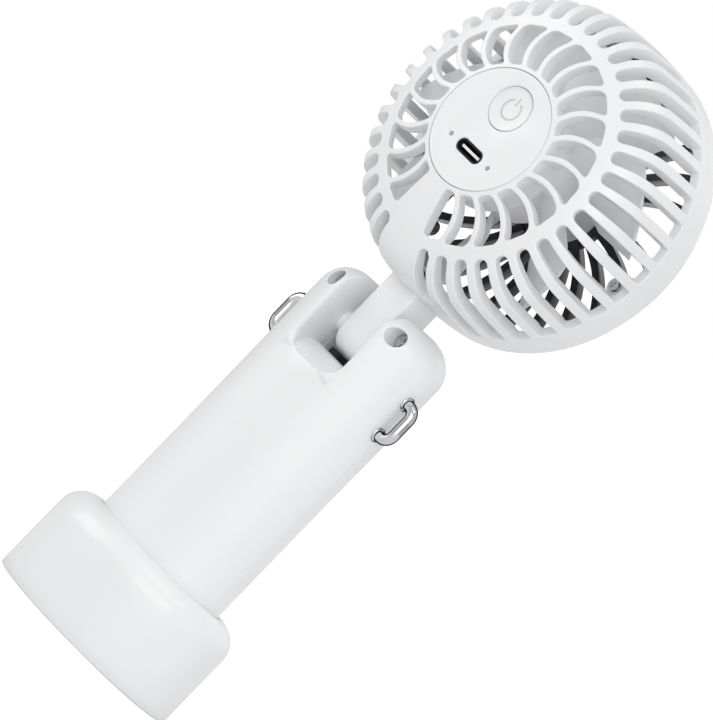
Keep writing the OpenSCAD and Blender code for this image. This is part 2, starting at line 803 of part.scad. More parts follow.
module stator_coils() color(copper) in_head() translate([0, 0, stator_z - 0.8]) {
    tooth_places() translate([sleeve_r + 1.6, 0, 0]) difference() {
        translate([0, -1.5, 0]) cube([stator_r - sleeve_r - 3.2, 3, stator_h + 1.6]);
        translate([-1, -0.7, 0.8]) cube([stator_r, 1.4, stator_h]);
    }
}

module rotor_can() color(chrome) in_head() {
    difference() {
        translate([0, 0, can_z]) cylinder(d = can_d, h = can_depth);
        translate([0, 0, can_z - 1]) cylinder(d = can_d - 2 * can_wall, h = can_depth);
        translate([0, 0, can_z]) cylinder(d = shaft_d, h = can_depth + 1);
    }
}

module rotor_magnets() color("dimgray") in_head() {
    translate([0, 0, stator_z - 1]) ring(can_d / 2 - can_wall, can_d / 2 - can_wall - magnet_t, stator_h + 2);
}

module motor_shaft() color(chrome) in_head() {
    translate([0, 0, bearing_back]) cylinder(d = shaft_d, h = can_front + 4 - bearing_back);
}

// ---- Impeller ----

module blade() {
    chord = (blade_front - blade_back) / sin(blade_pitch);
    translate([0, 0, (blade_back + blade_front) / 2]) rotate([90 - blade_pitch, 0, 0])
        translate([hub_cup_r - 0.6, -blade_t / 2, -chord / 2]) cube([tip_r, blade_t, chord]);
}

module impeller() color(soft_white) in_head() {
    difference() {
        translate([0, 0, can_z]) cylinder(r = hub_cup_r, h = can_depth + impeller_hub_t + 1);
        translate([0, 0, can_z - 1]) cylinder(r = can_d / 2, h = can_depth + 1);
        translate([0, 0, can_front - 1]) cylinder(d = shaft_d + 2, h = 8);
    }
    translate([0, 0, can_front]) difference() {
        cylinder(r = shaft_d / 2 + 2, h = 4);
        translate([0, 0, -1]) cylinder(d = shaft_d, h = 6);
    }
    intersection() {
        for (k = [0:blade_count - 1]) rotate(k * 360 / blade_count) blade();
        translate([0, 0, blade_back]) ring(tip_r, hub_cup_r - 0.6, blade_front - blade_back);
    }
}

// ---- Front grille ----

module grille_ribs_outline() {
    r0 = grille_cap_r - 0.5;
    r1 = grille_ring_r - 0.6;
    sweep_r = (r1 - r0) * 1.6;
    for (k = [0:grille_count - 1]) rotate(k * 360 / grille_count) intersection() {
        translate([r0, -1]) square([r1 - r0, r1 - r0]);
        translate([r0, sweep_r]) difference() {
            circle(r = sweep_r + grille_rib_w / 2, $fn = 96);
            circle(r = sweep_r - grille_rib_w / 2, $fn = 96);
        }
    }
}

// Depth of the grille's front face at a radius: a shallow dome
dome_r = (grille_ring_r * grille_ring_r + grille_bulge * grille_bulge) / (2 * grille_bulge);
function dome_depth(r) = head_depth + grille_flange_t + grille_bulge - dome_r + sqrt(dome_r * dome_r - r * r);

module dome_band(r0, r1, thickness) {
    steps = 4;
    radii = [for (i = [0:steps]) r0 + (r1 - r0) * i / steps];
    rotate_extrude() polygon(concat(
        [for (r = radii) [r, dome_depth(r)]],
        reversed([for (r = radii) [r, dome_depth(r) - thickness]])));
}

module front_grille() color(dark_chrome) in_head() {
    difference() {
        union() {
            translate([0, 0, lug_z + lug_t + 0.1])
                ring(grille_ring_r, grille_ring_r - grille_ring_t, head_depth - lug_z - lug_t);
            translate([0, 0, head_depth]) ring(rim_r - 0.6, grille_ring_r - grille_ring_t, grille_flange_t);
            intersection() {
                translate([0, 0, head_depth - 4]) linear_extrude(height = 14) grille_ribs_outline();
                dome_band(grille_cap_r - 1, grille_ring_r, grille_rib_depth);
            }
            dome_band(grille_cap_r - 2, grille_cap_r + 0.4, grille_rib_depth);
            for (k = [0:grille_screw_count - 1])
                round_head(grille_screw_at + k * 360 / grille_screw_count)
                    translate([0, 0, lug_z + lug_t + 0.1])
                        linear_extrude(height = grille_boss_h) {
                            translate([lug_r, 0]) circle(r = 2);
                            translate([lug_r, -2]) square([grille_ring_r - 0.7 - lug_r, 4]);
                        }
        }
        for (k = [0:grille_screw_count - 1])
            round_head(grille_screw_at + k * 360 / grille_screw_count)
                translate([lug_r, 0, lug_z]) cylinder(d = 1.4, h = lug_t + 4);
    }
}

module grille_cap() color(chrome) in_head() {
    translate([0, 0, dome_depth(grille_cap_r - 2) - grille_rib_depth]) difference() {
        cylinder(r = grille_cap_r - 2 - slip, h = grille_rib_depth + 0.6);
        translate([0, 0, -1]) cylinder(r = grille_cap_r - 4, h = grille_rib_depth);
    }
}

module grille_screws() color(chrome) in_head() {
    for (k = [0:grille_screw_count - 1]) round_head(grille_screw_at + k * 360 / grille_screw_count)
        translate([lug_r, 0, lug_z]) rotate([180, 0, 0]) cross_head_screw(1.5, 0.9, 0.7, lug_t + 2.6);
}

base_cup();
base_floor();
rubber_foot();
handle_rear_shell();
handle_front_shell();
shell_screws();
battery_cells();
protection_board();
battery_lead();
wire_grommet();
lanyard_loop_left();
lanyard_loop_right();
hinge_pin();
hinge_washers();
neck_arm();
rear_housing();
control_disc();
power_button();
control_board();
button_switch();
socket_shell();
socket_tongue();
indicator_lenses();
head_lead();
motor_bracket();
motor_screws();
bearings();
stator_core();
stator_coils();
rotor_can();
rotor_magnets();
motor_shaft();
impeller();
front_grille();
grille_cap();
grille_screws();
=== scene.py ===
import bpy
import bmesh
import math
from mathutils import Matrix, Vector


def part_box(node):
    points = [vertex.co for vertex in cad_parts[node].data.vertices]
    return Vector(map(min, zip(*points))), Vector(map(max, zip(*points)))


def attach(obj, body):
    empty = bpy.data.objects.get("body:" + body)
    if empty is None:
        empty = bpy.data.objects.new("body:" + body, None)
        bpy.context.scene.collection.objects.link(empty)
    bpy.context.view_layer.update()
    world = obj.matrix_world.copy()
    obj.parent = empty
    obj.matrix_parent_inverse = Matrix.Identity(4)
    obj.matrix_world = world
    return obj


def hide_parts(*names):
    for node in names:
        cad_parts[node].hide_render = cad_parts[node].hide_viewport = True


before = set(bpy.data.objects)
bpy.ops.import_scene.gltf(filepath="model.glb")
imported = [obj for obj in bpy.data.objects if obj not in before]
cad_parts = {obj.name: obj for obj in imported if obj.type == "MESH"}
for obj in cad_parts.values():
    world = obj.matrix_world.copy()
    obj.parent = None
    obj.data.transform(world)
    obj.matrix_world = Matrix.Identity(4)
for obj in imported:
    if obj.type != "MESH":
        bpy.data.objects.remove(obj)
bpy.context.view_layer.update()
mm = 0.001
print("frame loaded")


# camera, light and floor

cameraView = {
    "aim": (-0.0003, -0.0002, 0.0958),
    "azimuth": 217.9,
    "elevation": 2.2,
    "roll": 44.1,
    "distance": 1.820,
    "lens": 374.5,
    "sensor": 36.0,
}


def makeCamera(view):
    data = bpy.data.cameras.new("camera")
    data.lens = view["lens"]
    data.sensor_width = view["sensor"]
    data.clip_start = 0.05
    data.clip_end = 30
    camera = bpy.data.objects.new("camera", data)
    bpy.context.scene.collection.objects.link(camera)
    azimuth = math.radians(view["azimuth"])
    elevation = math.radians(view["elevation"])
    away = Vector((math.sin(azimuth) * math.cos(elevation), -math.cos(azimuth) * math.cos(elevation),
                   math.sin(elevation)))
    place = Vector(view["aim"]) + away * view["distance"]
    turn = (-away).to_track_quat("-Z", "Y").to_matrix().to_4x4()
    roll = Matrix.Rotation(math.radians(view["roll"]), 4, "Z")
    camera.matrix_world = Matrix.Translation(place) @ turn @ roll
    bpy.context.scene.camera = camera


lightPlan = [
    # name, where it stands, size, power, colour
    ("keyLight", (-0.75, 1.35, 0.45), 1.3, 9.5, (1.0, 0.998, 0.995)),
    ("fillLight", (-1.35, -0.1, 0.3), 0.9, 3.4, (0.99, 0.995, 1.0)),
    ("frontLight", (0.3, -1.2, 0.7), 1.0, 11.0, (1.0, 1.0, 1.0)),
    ("sideLight", (1.1, 0.7, 0.5), 0.9, 4.0, (1.0, 1.0, 1.0)),
    ("topLight", (-0.1, 0.3, 1.4), 1.0, 3.0, (1.0, 1.0, 1.0)),
]


def makeLights(plan):
    for name, place, size, power, colour in plan:
        data = bpy.data.lights.new(name, "AREA")
        data.size = size
        data.energy = power
        data.color = colour
        light = bpy.data.objects.new(name, data)
        bpy.context.scene.collection.objects.link(light)
        light.location = place
        light.visible_glossy = name not in ("fillLight", "frontLight")
        toward = Vector((0, 0, 0.11)) - Vector(place)
        light.rotation_euler = toward.to_track_quat("-Z", "Y").to_euler()
    world = bpy.data.worlds.new("studio")
    world.use_nodes = True
    tree = world.node_tree
    backdrop = tree.nodes["Background"]
    backdrop.inputs["Color"].default_value = (1.0, 1.0, 1.0, 1)
    seen = tree.nodes.new("ShaderNodeLightPath")
    strength = tree.nodes.new("ShaderNodeMapRange")
    strength.inputs["To Min"].default_value = 0.55
    strength.inputs["To Max"].default_value = 1.0
    tree.links.new(seen.outputs["Is Camera Ray"], strength.inputs["Value"])
    tree.links.new(strength.outputs["Result"], backdrop.inputs["Strength"])
    bpy.context.scene.world = world


makeCamera(cameraView)
makeLights(lightPlan)
bpy.context.scene.view_settings.view_transform = "Standard"
print("camera and lights placed")


# materials

def joinNodes(tree, source, target):
    tree.links.new(source, target)


def addNode(tree, kind, **values):
    node = tree.nodes.new(kind)
    for key, value in values.items():
        if key in node.inputs:
            node.inputs[key].default_value = value
        else:
            setattr(node, key, value)
    return node


def makeGroup(name, inputs, outputs):
    tree = bpy.data.node_groups.new(name, "ShaderNodeTree")
    for socketName, kind, value in inputs:
        socket = tree.interface.new_socket(socketName, in_out="INPUT", socket_type=kind)
        socket.default_value = value
    for socketName, kind in outputs:
        tree.interface.new_socket(socketName, in_out="OUTPUT", socket_type=kind)
    return tree, tree.nodes.new("NodeGroupInput"), tree.nodes.new("NodeGroupOutput")


def makeMouldedGroup():
    # slow colour drift, a fine moulded skin and faint handling marks
    tree, given, result = makeGroup(
        "mouldedSkin",
        [("Base", "NodeSocketColor", (0.9, 0.9, 0.9, 1)), ("Shade", "NodeSocketColor", (0.8, 0.8, 0.8,
                                                                                        1)),
         ("Drift Scale", "NodeSocketFloat", 20.0), ("Skin Scale", "NodeSocketFloat", 900.0),
         ("Gloss Low", "NodeSocketFloat", 0.25), ("Gloss High", "NodeSocketFloat", 0.4)],
        [("Color", "NodeSocketColor"), ("Roughness", "NodeSocketFloat"), ("Height", "NodeSocketFloat")])
    place = addNode(tree, "ShaderNodeTexCoord")
    drift = addNode(tree, "ShaderNodeTexNoise", Detail=3.0, Roughness=0.55)
    skin = addNode(tree, "ShaderNodeTexNoise", Detail=2.0, Roughness=0.6)
    mixer = addNode(tree, "ShaderNodeMix", data_type="RGBA")
    gloss = addNode(tree, "ShaderNodeMapRange")
    joinNodes(tree, place.outputs["Object"], drift.inputs["Vector"])
    joinNodes(tree, place.outputs["Object"], skin.inputs["Vector"])
    joinNodes(tree, given.outputs["Drift Scale"], drift.inputs["Scale"])
    joinNodes(tree, given.outputs["Skin Scale"], skin.inputs["Scale"])
    joinNodes(tree, drift.outputs["Fac"], mixer.inputs["Factor"])
    joinNodes(tree, given.outputs["Base"], mixer.inputs["A"])
    joinNodes(tree, given.outputs["Shade"], mixer.inputs["B"])
    joinNodes(tree, skin.outputs["Fac"], gloss.inputs["Value"])
    joinNodes(tree, given.outputs["Gloss Low"], gloss.inputs["To Min"])
    joinNodes(tree, given.outputs["Gloss High"], gloss.inputs["To Max"])
    joinNodes(tree, mixer.outputs["Result"], result.inputs["Color"])
    joinNodes(tree, gloss.outputs["Result"], result.inputs["Roughness"])
    joinNodes(tree, skin.outputs["Fac"], result.inputs["Height"])
    return tree


mouldedGroup = makeMouldedGroup()

materialPlan = {
    "whiteShell": dict(base=(0.86, 0.865, 0.87), shade=(0.83, 0.835, 0.845), drift=18, skin=1400,
                       low=0.26,
                       high=0.36, bump=0.012, metallic=0.0, coat=0.25, specular=0.5),
    # matte white for inner parts, kept paler than the shell: painted light standing in for light bounced round
    # inside
    "whiteInnerPaintedBounce": dict(base=(0.91, 0.91, 0.92), shade=(0.88, 0.885, 0.89), drift=24, skin=1200, low=0.34,
                       high=0.48, bump=0.02, metallic=0.0, coat=0.0, specular=0.45),
    "markGrey": dict(base=(0.60, 0.61, 0.62), shade=(0.56, 0.57, 0.58), drift=60, skin=2000, low=0.4,
                     high=0.5, bump=0.01, metallic=0.0, coat=0.0, specular=0.4),
    # rim: how dark the painted reflection goes at the chrome's outline
    "brightChrome": dict(base=(0.83, 0.84, 0.86), shade=(0.74, 0.75, 0.78), drift=70, skin=900, low=0.05,
                         high=0.12, bump=0.004, metallic=1.0, coat=0.0, specular=0.5, rim=0.05),
    "darkChrome": dict(base=(0.060, 0.062, 0.068), shade=(0.035, 0.036, 0.04), drift=80, skin=900,
                       low=0.12,
                       high=0.22, bump=0.006, metallic=0.85, coat=0.0, specular=0.5),
    "steel": dict(base=(0.56, 0.57, 0.59), shade=(0.47, 0.48, 0.50), drift=150, skin=1800, low=0.22,
                  high=0.36, bump=0.02, metallic=1.0, coat=0.0, specular=0.5),
    "rubber": dict(base=(0.045, 0.045, 0.048), shade=(0.03, 0.03, 0.032), drift=60, skin=1600, low=0.6,
                   high=0.8, bump=0.06, metallic=0.0, coat=0.0, specular=0.3),
    "blackPlastic": dict(base=(0.012, 0.012, 0.014), shade=(0.02, 0.02, 0.022), drift=90, skin=1500,
                         low=0.3,
                         high=0.45, bump=0.02, metallic=0.0, coat=0.0, specular=0.4),
    "boardGreen": dict(base=(0.015, 0.11, 0.06), shade=(0.01, 0.08, 0.045), drift=120, skin=1200, low=0.3,
                       high=0.45, bump=0.03, metallic=0.0, coat=0.1, specular=0.5),
    "copper": dict(base=(0.70, 0.30, 0.12), shade=(0.58, 0.22, 0.08), drift=200, skin=2500, low=0.25,
                   high=0.4, bump=0.08, metallic=1.0, coat=0.0, specular=0.5),
    "magnetGrey": dict(base=(0.12, 0.12, 0.13), shade=(0.09, 0.09, 0.10), drift=150, skin=2500, low=0.4,
                       high=0.6, bump=0.05, metallic=0.8, coat=0.0, specular=0.5),
    "cellWrap": dict(base=(0.32, 0.36, 0.40), shade=(0.28, 0.31, 0.35), drift=40, skin=700, low=0.2,
                     high=0.3, bump=0.01, metallic=0.0, coat=0.3, specular=0.5),
    "lensMilk": dict(base=(0.40, 0.41, 0.42), shade=(0.36, 0.37, 0.38), drift=200, skin=2500, low=0.15,
                     high=0.25, bump=0.01, metallic=0.0, coat=0.3, specular=0.5),
    # near-black socket shell: painted shade, so the inside of the opening reads dark
    "socketPaintedShade": dict(base=(0.03, 0.03, 0.034), shade=(0.02, 0.02, 0.023), drift=200, skin=2500,
                        low=0.3,
                        high=0.4, bump=0.01, metallic=0.3, coat=0.0, specular=0.3),
}


def makeMaterial(name, plan):
    material = bpy.data.materials.new(name)
    material.use_nodes = True
    tree = material.node_tree
    shader = tree.nodes["Principled BSDF"]
    skin = addNode(tree, "ShaderNodeGroup", node_tree=mouldedGroup)
    skin.inputs["Base"].default_value = (*plan["base"], 1)
    skin.inputs["Shade"].default_value = (*plan["shade"], 1)
    skin.inputs["Drift Scale"].default_value = plan["drift"]
    skin.inputs["Skin Scale"].default_value = plan["skin"]
    skin.inputs["Gloss Low"].default_value = plan["low"]
    skin.inputs["Gloss High"].default_value = plan["high"]
    bump = addNode(tree, "ShaderNodeBump", Strength=plan["bump"], Distance=0.0005)
    if "rim" in plan:
        # polished metal: base colour and specular tint are darkened toward the outline by facing angle, a
        # painted reflection of a darker studio
        edge = addNode(tree, "ShaderNodeLayerWeight", Blend=0.5)
        paintedReflectionFall = addNode(tree, "ShaderNodeMapRange", interpolation_type="SMOOTHSTEP")
        for key, value in (("From Min", 0.30), ("From Max", 0.52), ("To Min", 1.0), ("To Max",
                                                                                     plan["rim"])):
            paintedReflectionFall.inputs[key].default_value = value
        paintedReflectionTint = addNode(tree, "ShaderNodeMix", data_type="RGBA")
        paintedReflectionTint.inputs["A"].default_value = (plan["rim"], plan["rim"], plan["rim"], 1)
        joinNodes(tree, edge.outputs["Facing"], paintedReflectionFall.inputs["Value"])
        joinNodes(tree, paintedReflectionFall.outputs["Result"], paintedReflectionTint.inputs["Factor"])
        joinNodes(tree, skin.outputs["Color"], paintedReflectionTint.inputs["B"])
        joinNodes(tree, paintedReflectionTint.outputs["Result"], shader.inputs["Base Color"])
        shader.inputs["Specular Tint"].default_value = (plan["rim"], plan["rim"], plan["rim"], 1)
    else:
        joinNodes(tree, skin.outputs["Color"], shader.inputs["Base Color"])
    joinNodes(tree, skin.outputs["Roughness"], shader.inputs["Roughness"])
    joinNodes(tree, skin.outputs["Height"], bump.inputs["Height"])
    joinNodes(tree, bump.outputs["Normal"], shader.inputs["Normal"])
    shader.inputs["Metallic"].default_value = plan["metallic"]
    shader.inputs["Coat Weight"].default_value = plan["coat"]
    shader.inputs["Coat Roughness"].default_value = 0.15
    shader.inputs["Specular IOR Level"].default_value = plan["specular"]
    return material


materials = {name: makeMaterial(name, plan) for name, plan in materialPlan.items()}
print("materials made:", len(materials))


# building helpers: meshes are built in millimetres and made metres at the end

def columnLayer(bm):
    return bm.verts.layers.int.get("column") or bm.verts.layers.int.new("column")


def growRings(bm, columns, rows, place, closed=True):
    # a loop of edges is extruded row by row, and place(column, row) says where each vertex goes
    column = columnLayer(bm)
    verts = [bm.verts.new(place(c, 0)) for c in range(columns)]
    for index, vert in enumerate(verts):
        vert[column] = index
    pairs = zip(verts, verts[1:] + verts[:1]) if closed else zip(verts, verts[1:])
    edges = [bm.edges.new(pair) for pair in pairs]
    start = list(edges)
    for row in range(1, rows):
        grown = bmesh.ops.extrude_edge_only(bm, edges=edges)["geom"]
        edges = [g for g in grown if isinstance(g, bmesh.types.BMEdge)]
        for vert in (g for g in grown if isinstance(g, bmesh.types.BMVert)):
            vert.co = place(vert[column], row)
    return start, edges


def capLoop(bm, edges):
    bmesh.ops.contextual_create(bm, geom=edges)


def spinRound(bm, points, steps, place):
    # a profile of (radius, depth) turned a full circle; place puts a profile point at angle 0
    verts = [bm.verts.new(place(p)) for p in points]
    edges = [bm.edges.new(pair) for pair in zip(verts, verts[1:])]
    bmesh.ops.spin(bm, geom=verts + edges, cent=(0, 0, 0), axis=(0, 0, 1), angle=2 * math.pi, steps=steps,
                   use_merge=True)


def copyRound(bm, count):
    # evenly spaced copies round the axis
    bmesh.ops.spin(bm, geom=list(bm.verts) + list(bm.edges) + list(bm.faces), cent=(0, 0, 0), axis=(0, 0,
                                                                                                    1),
                   angle=2 * math.pi * (count - 1) / count, steps=count - 1, use_duplicate=True)


def slab(outline, shift):
    # a flat outline pulled straight into a closed prism
    bm = bmesh.new()
    face = bm.faces.new([bm.verts.new(p) for p in outline])
    raised = bmesh.ops.extrude_face_region(bm, geom=[face])["geom"]
    bmesh.ops.translate(bm, verts=[g for g in raised if isinstance(g, bmesh.types.BMVert)], vec=shift)
    bmesh.ops.recalc_face_normals(bm, faces=bm.faces)
    return bm


def bottomPoint(point):
    return Vector((0, -point[0], point[1]))


def takeIn(bm, other):
    mesh = bpy.data.meshes.new("part")
    other.to_mesh(mesh)
    other.free()
    bm.from_mesh(mesh)
    bpy.data.meshes.remove(mesh)


def cutAway(bm, cutter):
    # Boolean difference of two closed meshes
    pair = []
    for part in (bm, cutter):
        mesh = bpy.data.meshes.new("part")
        part.to_mesh(mesh)
        part.free()
        made = bpy.data.objects.new("part", mesh)
        bpy.context.scene.collection.objects.link(made)
        pair.append(made)
    modifier = pair[0].modifiers.new("cut", "BOOLEAN")
    modifier.operation = "DIFFERENCE"
    modifier.solver = "EXACT"
    modifier.object = pair[1]
    shaped = pair[0].evaluated_get(bpy.context.evaluated_depsgraph_get())
    result = bmesh.new()
    result.from_mesh(shaped.to_mesh())
    shaped.to_mesh_clear()
    for made in pair:
        mesh = made.data
        bpy.data.objects.remove(made)
        bpy.data.meshes.remove(mesh)
    return result


def bevelEdges(bm, edges, width, segments=3):
    bmesh.ops.bevel(bm, geom=edges, offset=width, segments=segments, profile=0.5, affect="EDGES",
                    material=-1, clamp_overlap=False)


def sharpEdges(bm, least, test=None):
    limit = math.radians(least)
    return [e for e in bm.edges if len(e.link_faces) == 2 and e.calc_face_angle(0) > limit
            and (test is None or all(test(v.co) for v in e.verts))]


def finishPiece(bm, name, body, material, stands=(), smoothAngle=35, weld=0.002):
    bmesh.ops.remove_doubles(bm, verts=bm.verts, dist=weld)
    bmesh.ops.dissolve_degenerate(bm, edges=bm.edges, dist=weld / 4)
    bmesh.ops.recalc_face_normals(bm, faces=bm.faces)
    layer = bm.verts.layers.int.get("column")
    if layer:
        bm.verts.layers.int.remove(layer)
    limit = math.radians(smoothAngle)
    for face in bm.faces:
        face.smooth = True
    for edge in bm.edges:
        if len(edge.link_faces) == 2:
            edge.smooth = edge.calc_face_angle(0.0) < limit
    bmesh.ops.scale(bm, vec=(mm, mm, mm), verts=bm.verts)
    mesh = bpy.data.meshes.new(name)
    bm.to_mesh(mesh)
    bm.free()
    mesh.materials.append(materials[material])
    piece = bpy.data.objects.new(name, mesh)
    bpy.context.scene.collection.objects.link(piece)
    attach(piece, body)
    if stands:
        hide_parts(*stands)
    return piece


def turned(point, angle):
    return Vector((point.x * math.cos(angle) - point.y * math.sin(angle),
                   point.x * math.sin(angle) + point.y * math.cos(angle), point.z))


# the head's own frame: x stays, y is up, and z is the depth forward of the control disc's face

discLow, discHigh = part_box("control_disc")
discCentre = (discLow + discHigh) / 2 / mm
discY = discHigh.y / mm
headZ = discCentre.z
housingLow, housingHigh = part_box("rear_housing")
headDepth = (housingHigh.y - housingLow.y) / mm


def toHead(bm):
    # from the head's frame to the object's frame
    bmesh.ops.transform(bm, matrix=Matrix(((1, 0, 0, 0), (0, 0, -1, discY), (0, 1, 0, headZ), (0, 0, 0,
                                                                                               1))),
                        verts=bm.verts)
    return bm


housing = {
    "seatRadius": 16.55,
    "crownAngle": 8.0,
    "cornerAngle": 24.0,
    "sideAngle": 84.0,
    "cornerRadius": 12.0,
    "sideRadius": 130.0,
    "radius": 42.0,
    "ribSkirt": 1.2,
    "wall": 2.2,
    "edge": 0.3,
    "hubRadius": 17.7,
    "hubDepth": 9.6,
    "hubWall": 1.4,
    "hubFloor": 1.6,
    "hubBore": 3.2,
    "discThickness": 1.6,
    "innerEnd": 30.5,
    "innerCount": 22,
    "innerOpen": 29.6,
    "ribWidth": 1.45,
    "ribDepth": 3.5,
    "ribBow": 1.75,
    "ribShift": -4.2,
    "strutHalf": 12.0,
    "strutShift": -3.0,
    "outerStart": 31.0,
    "outerCount": 38,
    "outerOpen": 0.615,
    "slotStart": 32.6,
    "rimBand": 9.2,
    "neckSlotEnd": 16.75,
    "across": 7,
    "lugAngles": (80, 200, 320),
    "lugDepth": 32.6,
    "lugRadius": 35.89,
    "lugThickness": 2.2,
}


def headArcs(plan):
    # the three arcs of the profile, as (centre, radius, first angle, length)
    crown, corner, side = (math.radians(plan[k]) for k in ("crownAngle", "cornerAngle", "sideAngle"))
    crownRadius = (plan["radius"] - plan["sideRadius"] * (1 - math.sin(side)) - plan["seatRadius"]
                   - plan["cornerRadius"] * (math.sin(side) - math.sin(corner)))
    crownRadius /= math.sin(corner) - math.sin(crown)
    result = []
    start = Vector((plan["seatRadius"], 0))
    for radius, first, last in ((crownRadius, crown, corner), (plan["cornerRadius"], corner, side),
                                (plan["sideRadius"], side, None)):
        centre = start + radius * Vector((-math.sin(first), math.cos(first)))
        if last is None:
            last = math.acos((centre.y - headDepth) / radius)
        result.append((centre, radius, first, radius * (last - first)))
        start = centre + radius * Vector((math.sin(last), -math.cos(last)))
    return result


arcs = headArcs(housing)
profileLength = sum(arc[3] for arc in arcs)


def profileAt(along, inset=0.0):
    # (radius, depth) at a length along the profile, moved inward by inset
    for index, (centre, radius, first, length) in enumerate(arcs):
        if along <= length or index == 2:
            angle = first + along / radius
            return (centre.x + (radius - inset) * math.sin(angle),
                    centre.y - (radius - inset) * math.cos(angle))
        along -= length


def alongAt(measure, value):
    # the length along the profile at which its radius (0) or depth (1) reaches a value
    low, high = 0.0, profileLength
    for _ in range(40):
        middle = (low + high) / 2
        if profileAt(middle)[measure] < value:
            low = middle
        else:
            high = middle
    return low


def skinPoint(theta, along, inset):
    # wall thickness goes square to the surface
    radius, depth = profileAt(along, inset)
    return Vector((-radius * math.sin(theta), -radius * math.cos(theta), depth))


def ribPoint(theta, along, inset):
    # wall thickness goes straight forward, as the inner ribs' walls do
    radius, depth = profileAt(along)
    return Vector((-radius * math.sin(theta), -radius * math.cos(theta), depth + inset))


def sidePath(count, corner, start, end, rounds, grow):
    # (level, inward) down one long side of an opening, from the middle of one corner to that of the other
    first, last = start - grow, end + grow
    near, far = rounds[0] + grow, rounds[1] + grow
    path = []
    for i in range(count):
        if i <= corner:
            turn = math.radians(45 * (corner - i) / corner)
            path.append((first + near * (1 - math.sin(turn)), near * (1 - math.cos(turn))))
        elif i >= count - 1 - corner:
            turn = math.radians(45 * (i - (count - 1 - corner)) / corner)
            path.append((last - far * (1 - math.sin(turn)), far * (1 - math.cos(turn))))
        else:
            share = (i - corner) / (count - 1 - 2 * corner)
            path.append((first + near + share * (last - far - first - near), 0.0))
    return path


def windowTile(bm, before, after, holeBefore, holeAfter, levels, start, end, rounds, wall, edge, point):
    # a tile of wall with one opening: border, rolled edge, the opening's wall, and the same border inside
    corner = (housing["across"] - 1) // 2
    count = len(levels)
    total = 2 * count + 4 * corner

    def side(c):
        # which stretch of the outline a column is on, and where on it
        if c < count:
            return "after", c
        c -= count
        if c < 2 * corner:
            return "end", c + 1
        c -= 2 * corner
        if c < count:
            return "before", count - 1 - c
        return "start", 2 * corner - (c - count)

    def borderAt(c):
        stretch, i = side(c)
        if stretch == "after":
            return after(levels[i]), levels[i]
        if stretch == "before":
            return before(levels[i]), levels[i]
        level = levels[-1] if stretch == "end" else levels[0]
        share = i / (2 * corner + 1)
        return after(level) * (1 - share) + before(level) * share, level

    def holeAt(c, grow):
        stretch, i = side(c)
        if stretch in ("after", "before"):
            level, inward = sidePath(count, corner, start, end, rounds, grow)[i]
            sign = 1 if stretch == "after" else -1
        else:
            radius = rounds[1 if stretch == "end" else 0] + grow
            turn = math.radians(45 + 45 * i / corner) if i <= corner else math.radians(
                90 - 45 * (i - corner - 1) / corner)
            sign = 1 if i <= corner else -1
            inward = radius * (1 - math.cos(turn))
            drop = radius * (1 - math.sin(turn))
            level = end + grow - drop if stretch == "end" else start - grow + drop
        near = min(max(level, start), end)
        middle = (holeBefore(near) + holeAfter(near)) / 2
        half = (holeAfter(near) - holeBefore(near)) / 2 * profileAt(near)[0] + grow
        return middle + sign * (half - inward) / profileAt(level)[0], level

    steps = 4
    rows = [("border", 0, 0), ("hole", edge + 0.2, 0)]
    rows += [("hole", edge * (1 - math.sin(math.pi / 2 * k / steps)),
              edge * (1 - math.cos(math.pi / 2 * k / steps)))
             for k in range(steps + 1)]
    rows += [("hole", 0, -0.2), ("hole", 0.2, -0.001), ("border", 0, -0.001)]

    def place(c, r):
        kind, grow, inset = rows[r]
        theta, level = borderAt(c) if kind == "border" else holeAt(c, grow)
        return point(theta, level, inset if inset >= 0 else wall(level) + inset)

    growRings(bm, total, len(rows), place)


def plainTile(bm, before, after, levels, wall, point):
    # two skins with nothing cut in them
    across = housing["across"]
    for skin in (0, 1):
        growRings(bm, across + 1, len(levels), lambda c, r: point(
            before(levels[r]) + (after(levels[r]) - before(levels[r])) * c / across, levels[r],
            wall(levels[r]) * skin), closed=False)


def tileLevels(first, start, end, last, rounds, count):
    corner = (housing["across"] - 1) // 2
    a, b = start + rounds[0], end - rounds[1]
    middle = count - 2 * corner
    return ([first + (a - first) * k / corner for k in range(corner)]
            + [a + (b - a) * k / (middle - 1) for k in range(middle)]
            + [b + (last - b) * (k + 1) / corner for k in range(corner)])


def joinRings(bm, ringA, ringB):
    # bridges two open rings, each given by the (radius, depth) of its points
    chosen = []
    for edge in bm.edges:
        if len(edge.link_faces) != 1:
            continue
        for ring in (ringA, ringB):
            if all(abs(math.hypot(v.co.x, v.co.y) - ring[0]) < 0.03 and abs(v.co.z - ring[1]) < 0.03
                   for v in edge.verts):
                chosen.append(edge)
    bmesh.ops.bridge_loops(bm, edges=chosen)


